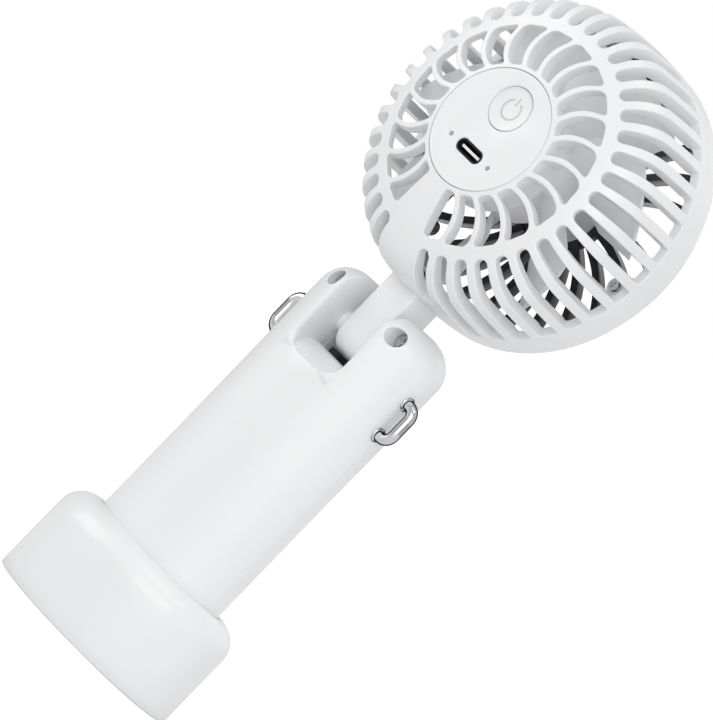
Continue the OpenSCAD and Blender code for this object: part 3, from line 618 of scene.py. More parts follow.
def makeHousing(plan):
    bm = bmesh.new()
    wall = plan["wall"]
    edge = plan["edge"]

    # outer tier: straight slots that run over the shoulder
    pitch = 2 * math.pi / plan["outerCount"]
    half = plan["outerOpen"] * pitch / 2
    slotStart = alongAt(0, plan["slotStart"])
    slotEnd = alongAt(1, headDepth - plan["rimBand"])
    rounds = (half * plan["slotStart"] * 0.97, 0.9)
    levels = tileLevels(alongAt(0, plan["outerStart"]), slotStart, slotEnd, slotEnd + 1.2, rounds, 40)

    def even(level):
        # the ribs are deeper than the plain wall at their two ends
        share = min((level - levels[0]) / 5, (levels[-1] - level) / 3, 1)
        return wall + plan["ribSkirt"] * max(share, 0)

    neckEnd = alongAt(1, plan["neckSlotEnd"])
    shortCount = next(i for i, level in enumerate(levels) if level > neckEnd + 0.9) + 1
    for place in range(plan["outerCount"]):
        centre = (place + 0.5) * pitch
        before = lambda level, centre=centre: centre - pitch / 2
        after = lambda level, centre=centre: centre + pitch / 2
        holeBefore = lambda level, centre=centre: centre - half
        holeAfter = lambda level, centre=centre: centre + half
        if place in (0, plan["outerCount"] - 1):
            plainTile(bm, before, after, levels, even, skinPoint)
        elif place in (1, plan["outerCount"] - 2):
            windowTile(bm, before, after, holeBefore, holeAfter, levels[:shortCount], slotStart, neckEnd,
                       rounds, even, edge, skinPoint)
            plainTile(bm, before, after, levels[shortCount - 1:], even, skinPoint)
        else:
            windowTile(bm, before, after, holeBefore, holeAfter, levels, slotStart, slotEnd, rounds, even,
                       edge, skinPoint)

    # rim band: outer face, rolled rim and inner face
    bandStart = levels[-1]
    bandSteps = [bandStart + (profileLength - 0.6 - bandStart) * k / 7 for k in range(8)]
    outside = [profileAt(level) for level in bandSteps]
    rimOut = profileAt(profileLength)[0]
    rimIn = profileAt(profileLength, wall)[0]
    roll = [(rimOut - 0.55 * (1 - math.cos(a)), headDepth - 0.55 * (1 - math.sin(a)))
            for a in (math.radians(22.5 * k) for k in range(5))]
    rollIn = [(rimIn + 0.3 * (1 - math.sin(a)), headDepth - 0.3 * (1 - math.cos(a)))
              for a in (math.radians(30 * k) for k in range(4))]
    inside = [profileAt(level, wall) for level in bandSteps[::-1]]
    spinRound(bm, outside + roll + rollIn + inside, plan["outerCount"] * plan["across"], bottomPoint)

    # inner tier: bowed ribs between the hub and the shoulder
    pitch = 2 * math.pi / plan["innerCount"]
    windowStart = alongAt(0, plan["hubRadius"])
    windowEnd = alongAt(0, plan["innerOpen"])
    tierStart = alongAt(0, plan["seatRadius"] + 0.2)
    tierEnd = alongAt(0, plan["innerEnd"])
    rounds = (0.9, 1.5)
    levels = tileLevels(tierStart, windowStart, windowEnd, tierEnd, rounds, 20)
    thickness = lambda level: plan["ribDepth"] if level < windowEnd - 2 else plan["ribDepth"] + (
        wall + 0.1 - plan["ribDepth"]) * min(1, (level - windowEnd + 2) / (tierEnd - windowEnd + 2))

    def ribAt(number):
        root = (number + 0.5) * pitch + math.radians(plan["ribShift"])

        def angle(level):
            radius = profileAt(level)[0]
            share = (radius - plan["hubRadius"]) / (plan["innerOpen"] - plan["hubRadius"])
            share = min(max(share, 0), 1)
            return root + plan["ribBow"] * (1 - (2 * share - 1) ** 2) / radius
        return angle

    def ribEdge(rib, sign):
        return lambda level: rib(level) + sign * plan["ribWidth"] / 2 / profileAt(level)[0]

    strutAfter = math.radians(plan["strutShift"] + plan["strutHalf"])
    strutBefore = math.radians(plan["strutShift"] - plan["strutHalf"])
    lip = math.radians(4)
    ribs = [ribAt(k) for k in range(1, plan["innerCount"] - 1)]
    tiles = [(rib, following, ribEdge(rib, 1), ribEdge(following, -1)) for rib, following in zip(ribs,
                                                                                                 ribs[1:])]
    tiles.append((lambda level: strutAfter - lip, ribs[0], lambda level: strutAfter, ribEdge(ribs[0],
                                                                                             -1)))
    tiles.append((ribs[-1], lambda level: strutBefore + lip + 2 * math.pi, ribEdge(ribs[-1], 1),
                  lambda level: strutBefore + 2 * math.pi))
    for before, after, holeBefore, holeAfter in tiles:
        windowTile(bm, before, after, holeBefore, holeAfter, levels, windowStart, windowEnd, rounds,
                   thickness,
                   edge, ribPoint)
    plainTile(bm, lambda level: strutBefore + lip, lambda level: strutAfter - lip, levels, thickness,
              ribPoint)

    # hub: the seat of the control disc and the cup behind it
    seat = plan["seatRadius"]
    seatInner = seat - plan["hubWall"]
    tube = plan["hubRadius"] - 0.06
    top = profileAt(alongAt(0, seat + 0.1))
    spinRound(bm, [top, (seat + 0.03, 0.06), (seat, 0.2), (seat, plan["discThickness"]),
                   (seatInner, plan["discThickness"]), (seatInner, plan["hubDepth"] - plan["hubFloor"]),
                   (plan["hubBore"], plan["hubDepth"] - plan["hubFloor"]), (plan["hubBore"],
                                                                            plan["hubDepth"]),
                   (tube - 0.5, plan["hubDepth"]), (tube, plan["hubDepth"] - 0.5), (tube, 1.2)],
              154, bottomPoint)
    bmesh.ops.remove_doubles(bm, verts=bm.verts, dist=0.002)
    outerFirst = alongAt(0, plan["outerStart"])
    joinRings(bm, profileAt(tierEnd), profileAt(outerFirst))
    radius, depth = profileAt(tierEnd)
    joinRings(bm, (radius, depth + thickness(tierEnd)), profileAt(outerFirst, wall))
    joinRings(bm, profileAt(tierStart), top)

    # lugs that the front grille is screwed to
    lugRadius = plan["lugRadius"]
    for angle in plan["lugAngles"]:
        outline = [Vector((lugRadius - 2.4 * math.cos(math.radians(a)), 2.4 * math.sin(math.radians(a)),
                           0))
                   for a in range(-90, 91, 15)]
        outline = [Vector((40.6, -2.4, 0))] + outline + [Vector((40.6, 2.4, 0))]
        lug = slab(outline, (0, 0, plan["lugThickness"]))
        bevelEdges(lug, sharpEdges(lug, 60, lambda p: p.x < 38), 0.25, 2)
        turn = Matrix.Rotation(math.radians(270 - angle), 4, "Z")
        bmesh.ops.transform(lug, matrix=Matrix.Translation((0, 0, plan["lugDepth"])) @ turn,
                            verts=lug.verts)
        takeIn(bm, lug)
    toHead(bm)
    return finishPiece(bm, "rear_housing_shell", "head", "whiteShell", ["rear_housing"])


makeHousing(housing)
print("rear housing built")


# control disc, power button and power mark

controls = {
    "radius": 16.4,
    "thickness": 1.6,
    "rim": 0.28,
    "buttonRim": 0.55,
    "buttonUp": 6.9,
    "buttonRadius": 5.9,
    "buttonGap": 0.15,
    "dishRadius": 40.0,
    "dishDepth": 0.9,
    "markRadius": 2.68,
    "markWidth": 0.55,
    "socketDown": 7.2,
    "socketWide": 9.3,
    "socketHigh": 3.6,
    "lensOut": 7.7,
    "lensHole": 0.55,
}


def roundPlug(radius, low, high, centre=(0, 0), segments=96):
    bm = bmesh.new()
    bmesh.ops.create_cone(bm, cap_ends=True, segments=segments, radius1=radius, radius2=radius,
                          depth=high - low,
                          matrix=Matrix.Translation((centre[0], centre[1], (low + high) / 2)))
    return bm


def longPlug(wide, high, low, top, centre):
    # a stadium-shaped plug
    radius = high / 2
    half = wide / 2 - radius
    outline = [Vector((centre[0] + half + radius * math.sin(math.radians(a)),
                       centre[1] - radius * math.cos(math.radians(a)), low)) for a in range(0, 181, 9)]
    outline += [Vector((centre[0] - half - radius * math.sin(math.radians(a)),
                        centre[1] + radius * math.cos(math.radians(a)), low)) for a in range(0, 181, 9)]
    return slab(outline, (0, 0, top - low))


def makeControls(plan):
    disc = roundPlug(plan["radius"], 0, plan["thickness"], segments=192)
    cutter = roundPlug(plan["buttonRadius"] + plan["buttonGap"], -1, 3, (0, plan["buttonUp"]), 96)
    takeIn(cutter, longPlug(plan["socketWide"], plan["socketHigh"], -1, 3, (0, -plan["socketDown"])))
    for sign in (-1, 1):
        takeIn(cutter, roundPlug(plan["lensHole"], -1, 3, (sign * plan["lensOut"], -plan["socketDown"]),
                                 20))
    disc = cutAway(disc, cutter)
    bmesh.ops.remove_doubles(disc, verts=disc.verts, dist=0.001)

    def nearButton(point):
        return point.z < 0.01 and math.hypot(point.x,
                                             point.y - plan["buttonUp"]) < plan["buttonRadius"] + 0.3

    bevelEdges(disc, sharpEdges(disc, 60, nearButton), plan["buttonRim"], 4)
    bevelEdges(disc, sharpEdges(disc, 60, lambda p: p.z < 0.01 and not nearButton(p)), plan["rim"], 3)
    toHead(disc)
    finishPiece(disc, "control_disc_plate", "head", "whiteShell", ["control_disc"],
                smoothAngle=14)

    def dishAt(radius):
        return plan["dishDepth"] - plan["dishRadius"] + math.sqrt(plan["dishRadius"] ** 2 - radius ** 2)

    button = bmesh.new()
    radius = plan["buttonRadius"]
    dish = [(r, dishAt(r)) for r in (0.0, 1.0, 2.0, 3.0, 4.0, 4.8, 5.3)]
    lip = [(5.5, dishAt(5.5) - 0.03), (5.62, 0.32), (5.72, 0.24), (5.82, 0.26), (radius, 0.36)]
    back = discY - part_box("power_button")[0].y / mm
    spinRound(button, dish + lip + [(radius, 1.95), (radius + 0.7, 1.95), (radius + 0.7, 2.65), (1.4,
                                                                                                 2.65),
                                    (1.4, back), (0.0, back)], 96, bottomPoint)
    bmesh.ops.translate(button, vec=(0, plan["buttonUp"], 0), verts=button.verts)
    toHead(button)
    finishPiece(button, "power_button_cap", "button", "whiteShell", ["power_button"])

    # the power mark: an open ring and a bar, printed on the dish
    mark = bmesh.new()
    width = plan["markWidth"] / 2

    def ringPlace(c, r):
        angle = math.radians(90 + 27 + (360 - 54) * r / 40)
        across = (c - 2) / 2
        radius = plan["markRadius"] + width * across
        return Vector((radius * math.cos(angle), radius * math.sin(angle), dishAt(radius) - 0.012))

    growRings(mark, 5, 41, ringPlace, closed=False)

    def barPlace(c, r):
        x = width * (c - 2) / 2
        y = 1.35 + 2.1 * r / 10
        return Vector((x, y, dishAt(math.hypot(x, y)) - 0.012))

    growRings(mark, 5, 11, barPlace, closed=False)
    bmesh.ops.solidify(mark, geom=mark.faces, thickness=0.02)
    bmesh.ops.translate(mark, vec=(0, plan["buttonUp"], 0), verts=mark.verts)
    toHead(mark)
    finishPiece(mark, "power_mark", "button", "markGrey", weld=0.0005)


makeControls(controls)
print("controls built")


# handle: one skin from the seat, over the ears and down into the slot, then split into two shells

rearLow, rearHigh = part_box("handle_rear_shell")
frontLow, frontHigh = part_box("handle_front_shell")

handle = {
    "wide": (rearHigh.x - rearLow.x) / mm,
    "deep": (rearHigh.y - frontLow.y) / mm,
    "bottom": rearLow.z / mm,
    "top": rearHigh.z / mm,
    "part": rearLow.y / mm,
    "slotHalf": 9.05,
    "slotFloor": 88.0,
    "slotCorner": 5.0,
    "slotFront": -12.4,
    "slotEdge": 1.1,
    "sideRound": 9.0,
    "endRound": 7.0,
    "topEdge": 0.7,
    "rampTop": 92.6,
    "recessRadius": 2.5,
    "recessX": 12.975,
    "recessZ": 106.9,
    "recessY": 6.0,
    "seam": 0.16,
    "footRound": 0.5,
}


class Oval:
    # four arcs that touch without a corner; a point is found from the direction it faces
    def __init__(self, wide, deep):
        a, b = wide / 2, deep / 2
        self.b = b
        self.end = min(1.1 * b * b / a, 0.96 * b)
        self.shift = a - self.end
        self.side = (self.shift ** 2 + b * b - self.end ** 2) / (2 * (b - self.end))
        self.turn = math.atan2(self.side - b, self.shift)

    def at(self, angle):
        x, y = math.cos(angle), math.sin(angle)
        if abs(x) > math.cos(self.turn):
            return Vector((math.copysign(self.shift, x) + self.end * x, self.end * y))
        return Vector((self.side * x, math.copysign(self.side - self.b, -y) + self.side * y))

    def inset(self, x, y):
        # how far a point lies inside the outline
        fromEnd = Vector((abs(x) - self.shift, abs(y)))
        if fromEnd.x > 0 and math.atan2(fromEnd.y, fromEnd.x) < self.turn:
            return self.end - fromEnd.length
        return self.side - math.hypot(x, abs(y) + self.side - self.b)


def spread(first, last, count):
    return [first + (last - first) * k / count for k in range(count + 1)]


def makeHandle(plan):
    oval = Oval(plan["wide"], plan["deep"])
    turn = oval.turn
    parts = (8, 18, 24, 18, 8)
    rim = 4
    columnsOut = sum(parts) + 1
    total = 2 * columnsOut + 2 * (rim - 1)
    narrow = plan["slotHalf"] - plan["slotCorner"]
    edge = plan["slotEdge"]
    floor = plan["slotFloor"]

    def facing(slotHalf):
        # the way each outer column faces, from the slot's right rear edge round the front to its left one
        first = math.acos((slotHalf + edge) / oval.side)
        stops = [first, turn, -turn, -math.pi + turn, -math.pi - turn, -math.pi - first]
        angles = [stops[0]]
        for count, a, b in zip(parts, stops, stops[1:]):
            angles += spread(a, b, count)[1:]
        return angles

    def outer(slotHalf):
        return [oval.at(a) for a in facing(slotHalf)]

    def rearAt(x):
        return oval.b - oval.side + math.sqrt(oval.side ** 2 - x * x)

    def inner(slotHalf):
        # the slot's walls, paired with the outer columns
        rear = rearAt(slotHalf) - edge
        front = plan["slotFront"]
        wallCount = parts[0] + parts[1]
        bend = 1.2
        right = [Vector((slotHalf, y)) for y in spread(rear, front + bend, wallCount - 2)]
        corner = [Vector((slotHalf - bend * (1 - math.cos(a)), front + bend * (1 - math.sin(a))))
                  for a in (math.radians(30), math.radians(60), math.radians(90))]
        half = slotHalf - bend
        middle = [Vector((x, front)) for x in spread(half, -half, parts[2] - 2)[1:-1]]
        left = [Vector((-p.x, p.y)) for p in (right + corner)[::-1]]
        return right + corner + middle + left

    def onRear(slotHalf):
        # the same columns while there is no slot yet
        half = slotHalf - edge
        return [Vector((x, rearAt(x))) for x in spread(half, -half, columnsOut - 1)]

    def ring(slotHalf, open):
        # outer columns, left rolled edge, slot columns, right rolled edge; open goes from 0 to 1 on the floor
        out = outer(slotHalf)
        flat, walls = onRear(slotHalf), inner(slotHalf)
        into = [a.lerp(b, open) for a, b in zip(flat, walls)]
        rims = []
        for start, end, sign in ((out[-1], into[-1], -1), (into[0], out[0], 1)):
            cornerFlat = Vector((sign * slotHalf, rearAt(slotHalf)))
            middle = (start + end) / 2
            bendPoint = middle.lerp(cornerFlat, min(1, open * 4))
            rims.append([start * (1 - t) ** 2 + bendPoint * 2 * t * (1 - t) + end * t * t
                         for t in (k / rim for k in range(1, rim))])
        return out, rims[0], into[::-1], rims[1]

    def roundAt(angle):
        return plan["endRound"] + (plan["sideRound"] - plan["endRound"]) * math.cos(angle) ** 2

    def topAt(point, radius):
        depth = min(max(oval.inset(point.x, point.y), 0), radius)
        return plan["top"] - radius + math.sqrt(max(radius ** 2 - (radius - depth) ** 2, 0))

    # rows: (stage, value)
    rows = [("foot", plan["footRound"]), ("foot", 0.15), ("foot", 0.0)]
    rows += [("wall", z) for z in spread(plan["bottom"] + plan["footRound"], floor - edge, 26)[1:]]
    rows += [("roll", a) for a in (30, 60, 90)]
    rows += [("floor", s) for s in (0.12, 0.25, 0.4, 0.55, 0.7, 0.85, 1.0)]
    rows += [("corner", a) for a in spread(0, 90, 7)[1:]]
    rows += [("ear", s) for s in spread(0, 1, 16)[1:]]
    rows += [("crest", s) for s in spread(0, 1, 14)[1:]]
    full = ring(plan["slotHalf"], 1)
    angles = facing(plan["slotHalf"])
    fullFlat = full[0] + full[1] + full[2] + full[3]

    def columnKind(c):
        if c < columnsOut:
            return "out", c, c
        c -= columnsOut
        if c < rim - 1:
            return "rimLeft", c, columnsOut - 1
        c -= rim - 1
        if c < columnsOut:
            return "in", c, columnsOut - 1 - c
        return "rimRight", c - columnsOut, 0

    def earTop(c):
        # where the upright part of a column ends
        kind, i, pair = columnKind(c)
        radius = roundAt(angles[pair])
        if kind == "out":
            return topAt(fullFlat[c], radius)
        if kind == "in":
            return topAt(fullFlat[c], radius) - plan["topEdge"]
        share = (i + 1) / rim
        if kind == "rimRight":
            share = 1 - share
        outTop = topAt(full[0][pair], radius)
        inTop = topAt(full[2][columnsOut - 1 - pair], radius) - plan["topEdge"]
        return outTop + (inTop - outTop) * share

    tops = [earTop(c) for c in range(total)]
    rings = {}

    def ringFor(stage, value):
        if (stage, value) not in rings:
            if stage in ("foot", "wall", "roll"):
                parts4 = ring(narrow + 0.001, 0)
            elif stage == "floor":
                parts4 = ring(narrow + 0.001, value)
            elif stage == "corner":
                parts4 = ring(narrow + plan["slotCorner"] * math.sin(math.radians(value)), 1)
            else:
                parts4 = full
            rings[(stage, value)] = parts4[0] + parts4[1] + parts4[2] + parts4[3]
        return rings[(stage, value)]

    def place(c, r):
        stage, value = rows[r]
        flat = ringFor(stage, value)[c]
        kind, i, pair = columnKind(c)
        if stage == "foot":
            shrink = 1 - value / 22
            rise = math.sqrt(max(plan["footRound"] ** 2 - value ** 2, 0)) if value else 0
            return Vector((flat.x * shrink, flat.y * shrink, plan["bottom"] + plan["footRound"] - rise))
        if stage == "wall":
            return Vector((flat.x, flat.y, value))
        rollShare = {"out": 0, "rimLeft": ((i + 1) / rim) ** 2,
                     "rimRight": (1 - (i + 1) / rim) ** 2}.get(kind)
        if kind == "in":
            # the roll fades out toward the mouth's lower corners
            rollShare = 1 - 0.45 * min(abs(flat.x) / narrow, 1) ** 6
        if stage == "roll":
            a = math.radians(value)
            push = edge * (1 - math.cos(a)) * rollShare
            return Vector((flat.x, flat.y - push, floor - edge * (1 - math.sin(a))))
        if stage == "floor":
            push = edge * (1 - value) * rollShare
            return Vector((flat.x, flat.y - push, floor))
        bottom = floor + plan["slotCorner"]
        if stage == "corner":
            return Vector((flat.x, flat.y, bottom - plan["slotCorner"] * math.cos(math.radians(value))))
        if stage == "ear":
            return Vector((flat.x, flat.y, bottom + (tops[c] - bottom) * value))
        radius = roundAt(angles[pair])
        start, across = full[0][pair], full[2][columnsOut - 1 - pair]
        centre = (start + across) / 2
        if kind == "out":
            point = start.lerp(centre, 1 - math.cos(math.pi / 2 * value))
            return Vector((point.x, point.y, topAt(point, radius)))
        origin = flat
        step = round(value * 14)
        if kind == "in":
            toCentre = (centre - origin).normalized()
            rolled = origin + toCentre * plan["topEdge"]
            if step <= 4:
                a = math.radians(22.5 * step)
                point = origin + toCentre * plan["topEdge"] * (1 - math.cos(a))
                return Vector((point.x, point.y, topAt(point,
                                                       radius) - plan["topEdge"] * (1 - math.sin(a))))
            point = rolled.lerp(centre, (step - 4) / 10)
            return Vector((point.x, point.y, topAt(point, radius)))
        point = origin.lerp(centre, value)
        share = min(1, value * 2)
        return Vector((point.x, point.y, tops[c] + (topAt(point, radius) - tops[c]) * share))

    bm = bmesh.new()
    capLoop(bm, growRings(bm, total, len(rows), place)[0])
    bmesh.ops.remove_doubles(bm, verts=bm.verts, dist=0.004)
    bmesh.ops.dissolve_degenerate(bm, edges=bm.edges, dist=0.002)
    bmesh.ops.recalc_face_normals(bm, faces=bm.faces)

    # screw recesses in the ears
    cutter = bmesh.new()
    for sign in (-1, 1):
        bmesh.ops.create_cone(cutter, cap_ends=True, segments=48, radius1=plan["recessRadius"],
                              radius2=plan["recessRadius"], depth=20,
                              matrix=Matrix.Translation((sign * plan["recessX"], plan["recessY"] + 10,
                                                         plan["recessZ"])) @ Matrix.Rotation(math.pi / 2,
                                                                                             4, "X"))
    bm = cutAway(bm, cutter)
    skin = bpy.data.meshes.new("handleSkin")
    bm.to_mesh(skin)
    bm.free()

    def half(sign, name, stands):
        shell = bmesh.new()
        shell.from_mesh(skin)
        part = plan["part"]
        for step in (0.3 * sign, 0.14 * sign):
            bmesh.ops.bisect_plane(shell, geom=list(shell.verts) + list(shell.edges) + list(shell.faces),
                                   plane_co=(0, part + step, 0), plane_no=(0, 1, 0), dist=1e-5)
        bmesh.ops.bisect_plane(shell, geom=list(shell.verts) + list(shell.edges) + list(shell.faces),
                               plane_co=(0, part, 0), plane_no=(0, sign, 0), clear_inner=True, dist=1e-5)
        shell.normal_update()
        for vert in [v for v in shell.verts if abs(v.co.y - part) < 1e-4]:
            normal = Vector((vert.normal.x, 0, vert.normal.z))
            if normal.length > 0.1:
                vert.co = vert.co - normal.normalized() * plan["seam"]
        capLoop(shell, [e for e in shell.edges if len(e.link_faces) == 1])
        if sign > 0:
            takeIn(shell, makeRamp(plan))
        return finishPiece(shell, name, "handle", "whiteShell", stands, weld=0.001)

    half(1, "handle_rear_half", ["handle_rear_shell"])
    half(-1, "handle_front_half", ["handle_front_shell"])
    bpy.data.meshes.remove(skin)


def makeRamp(plan):
    # the slot's floor rises toward the hinge
    part = plan["part"]
    outline = [(part + 1.5, plan["slotFloor"] - 1), (part + 1.5, plan["rampTop"]), (part + 5,
                                                                                    plan["rampTop"]),
               (14.5, plan["slotFloor"] - 0.05), (14.0, plan["slotFloor"] - 1)]
    half = plan["slotHalf"] + 0.3
    bm = slab([Vector((-half, y, z)) for y, z in outline], (2 * half, 0, 0))
    ridges = [e for e in bm.edges if all(abs(v.co.z - plan["rampTop"]) < 0.01 for v in e.verts)
              and abs(e.verts[0].co.x - e.verts[1].co.x) > 1]
    bevelEdges(bm, ridges, 1.4, 6)
    return bm


makeHandle(handle)
print("handle built")


# base cup: oval rings from the inside of the foot, over the shoulder and down into the pocket

cupLow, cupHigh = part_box("base_cup")
base = {
    "wide": (cupHigh.x - cupLow.x) / mm,
    "deep": (cupHigh.y - cupLow.y) / mm,
    "high": cupHigh.z / mm,
    "shoulder": 7.0,
    "wall": 2.0,
    "seat": 6.0,
    "dockGap": 0.3,
    "lip": 0.6,
}


def ovalRing(wide, deep, count=128):
    oval = Oval(wide, deep)
    quarter = count // 4
    half = quarter // 2
    turns = (spread(0, oval.turn, half)[:-1] + spread(oval.turn, math.pi - oval.turn, quarter)[:-1]
             + spread(math.pi - oval.turn, math.pi + oval.turn, quarter)[:-1]
             + spread(math.pi + oval.turn, 2 * math.pi - oval.turn, quarter)[:-1]
             + spread(2 * math.pi - oval.turn, 2 * math.pi, half)[:-1])
    return [oval.at(a) for a in turns]


def makeBase(plan):
    wide, deep, high = plan["wide"], plan["deep"], plan["high"]
    pocketWide = handle["wide"] + 2 * plan["dockGap"]
    pocketDeep = handle["deep"] + 2 * plan["dockGap"]
    shoulder = plan["shoulder"]
    lip = plan["lip"]
    rows = [(wide - 4.4, deep - 4.4, 3.2), (wide - 4, deep - 4, 0.3), (wide - 3.4, deep - 3.4, 0.0),
            (wide - 1.0, deep - 1.0, 0.0), (wide - 0.3, deep - 0.3, 0.15), (wide, deep, 0.5)]
    rows += [(wide, deep, z) for z in spread(0.5, high - shoulder, 8)[1:]]
    rows += [(wide - 2 * shoulder * (1 - math.cos(a)), deep - 2 * shoulder * (1 - math.cos(a)),
              high - shoulder * (1 - math.sin(a))) for a in (math.radians(90 * k / 12) for k in range(1,
                                                                                                      13))]
    rows += [(pocketWide + 2 * lip + 0.4, pocketDeep + 2 * lip + 0.4, high)]
    rows += [(pocketWide + 2 * lip * (1 - math.sin(a)), pocketDeep + 2 * lip * (1 - math.sin(a)),
              high - lip * (1 - math.cos(a))) for a in (math.radians(90 * k / 4) for k in range(0, 5))]
    rows += [(pocketWide, pocketDeep, z) for z in spread(high - lip, plan["seat"], 6)[1:]]
    rings = [ovalRing(w, d) for w, d, z in rows]
    bm = bmesh.new()
    floorLoop = growRings(bm, len(rings[0]), len(rows),
                          lambda c, r: Vector((rings[r][c].x, rings[r][c].y, rows[r][2])))[1]
    capLoop(bm, floorLoop)
    return finishPiece(bm, "base_cup_shell", "base", "whiteShell", ["base_cup"])


makeBase(base)
print("base built")


# neck

neckLow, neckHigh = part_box("neck_arm")
pinLow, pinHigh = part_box("hinge_pin")
neck = {
    "half": (neckHigh.x - neckLow.x) / 2 / mm,
    "deep": (neckHigh.y - neckLow.y) / mm,
    "hingeZ": (pinLow.z + pinHigh.z) / 2 / mm,
    "hingeY": (pinLow.y + pinHigh.y) / 2 / mm,
    "top": 118.4,
    "edge": 0.9,
}


def makeNeck(plan):
    radius = plan["deep"] / 2
    y, z = plan["hingeY"], plan["hingeZ"]
    barrel = [(y - radius * math.cos(a), z - radius * math.sin(a)) for a in (math.pi * k / 28
                                                                             for k in range(29))]
    outline = [(y - radius, plan["top"])] + barrel + [(y + radius, plan["top"])]
    half = plan["half"]
    bm = slab([Vector((-half, a, b)) for a, b in outline], (2 * half, 0, 0))
    low = [e for e in sharpEdges(bm, 60) if min(v.co.z for v in e.verts) < plan["top"] - 0.1]
    bevelEdges(bm, low, plan["edge"], 4)
    return finishPiece(bm, "neck_arm_body", "head", "whiteShell", ["neck_arm"])


makeNeck(neck)
print("neck built")


# lanyard loops

loopLow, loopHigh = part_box("lanyard_loop_left")
loop = {
    "bar": 1.5,
    "bend": 2.6,
    "root": handle["wide"] / 2 - 3.5,
    "reach": loopHigh.x / mm,
    "halfHigh": (loopHigh.z - loopLow.z) / 2 / mm,
    "z": (loopHigh.z + loopLow.z) / 2 / mm,
    "y": (loopHigh.y + loopLow.y) / 2 / mm,
    "collar": 2.0,
}


def makeLoop(plan, sign, name, stands):
    bm = bmesh.new()
    bar, bend = plan["bar"], plan["bend"]
    far = plan["reach"] - bar
    leg = plan["halfHigh"] - bar
    path = [(x, leg, 0.0) for x in spread(plan["root"], far - bend, 4)]
    path += [(far - bend + bend * math.sin(a), leg - bend + bend * math.cos(a), a)
             for a in (math.pi / 2 * k / 8 for k in range(1, 9))]
    path += [(far, z, math.pi / 2) for z in spread(leg - bend, -(leg - bend), 4)[1:]]
    path += [(far - bend + bend * math.cos(a), -(leg - bend) - bend * math.sin(a), math.pi / 2 + a)
             for a in (math.pi / 2 * k / 8 for k in range(1, 9))]
    path += [(x, -leg, math.pi) for x in spread(far - bend, plan["root"], 4)[1:]]

    def place(c, r):
        x, z, turn = path[r]
        around = 2 * math.pi * c / 24
        out = bar * math.cos(around)
        # the section's outward side turns with the path
        return Vector((sign * (x + out * math.sin(turn)), plan["y"] + bar * math.sin(around),
                       plan["z"] + z + out * math.cos(turn)))

    start, end = growRings(bm, 24, len(path), place)
    capLoop(bm, start)
    capLoop(bm, end)
    for side in (-1, 1):
        collar = bmesh.new()
        spinRound(collar, [(0.0, 0.0), (plan["collar"], 0.0), (plan["collar"], 0.9),
                           (plan["collar"] - 0.15, 1.1),
                           (plan["collar"] - 0.4, 1.2), (0.0, 1.2)], 32, lambda p: Vector((p[0], 0,
                                                                                           p[1])))
        matrix = Matrix.Translation((sign * (handle["wide"] / 2 - 0.85), plan["y"],
                                     plan["z"] + side * leg))
        bmesh.ops.transform(collar, matrix=matrix @ Matrix.Rotation(sign * math.pi / 2, 4, "Y"),
                            verts=collar.verts)
        takeIn(bm, collar)
    return finishPiece(bm, name, "handle", "brightChrome", stands)


makeLoop(loop, 1, "lanyard_bar_left", ["lanyard_loop_left"])
makeLoop(loop, -1, "lanyard_bar_right", ["lanyard_loop_right"])
print("lanyard loops built")


# front grille: swirled ribs between the ring and the cap

grille = {
    "ringOut": 40.9,
    "ringIn": 37.75,
    "spigot": 39.1,
    "flange": 0.8,
    "capRadius": 12.5,
    "bulge": 4.4,
    "count": 26,
    "ribHalf": 1.0,
    "ribDepth": 3.6,
    "sweep": 1.6,
}


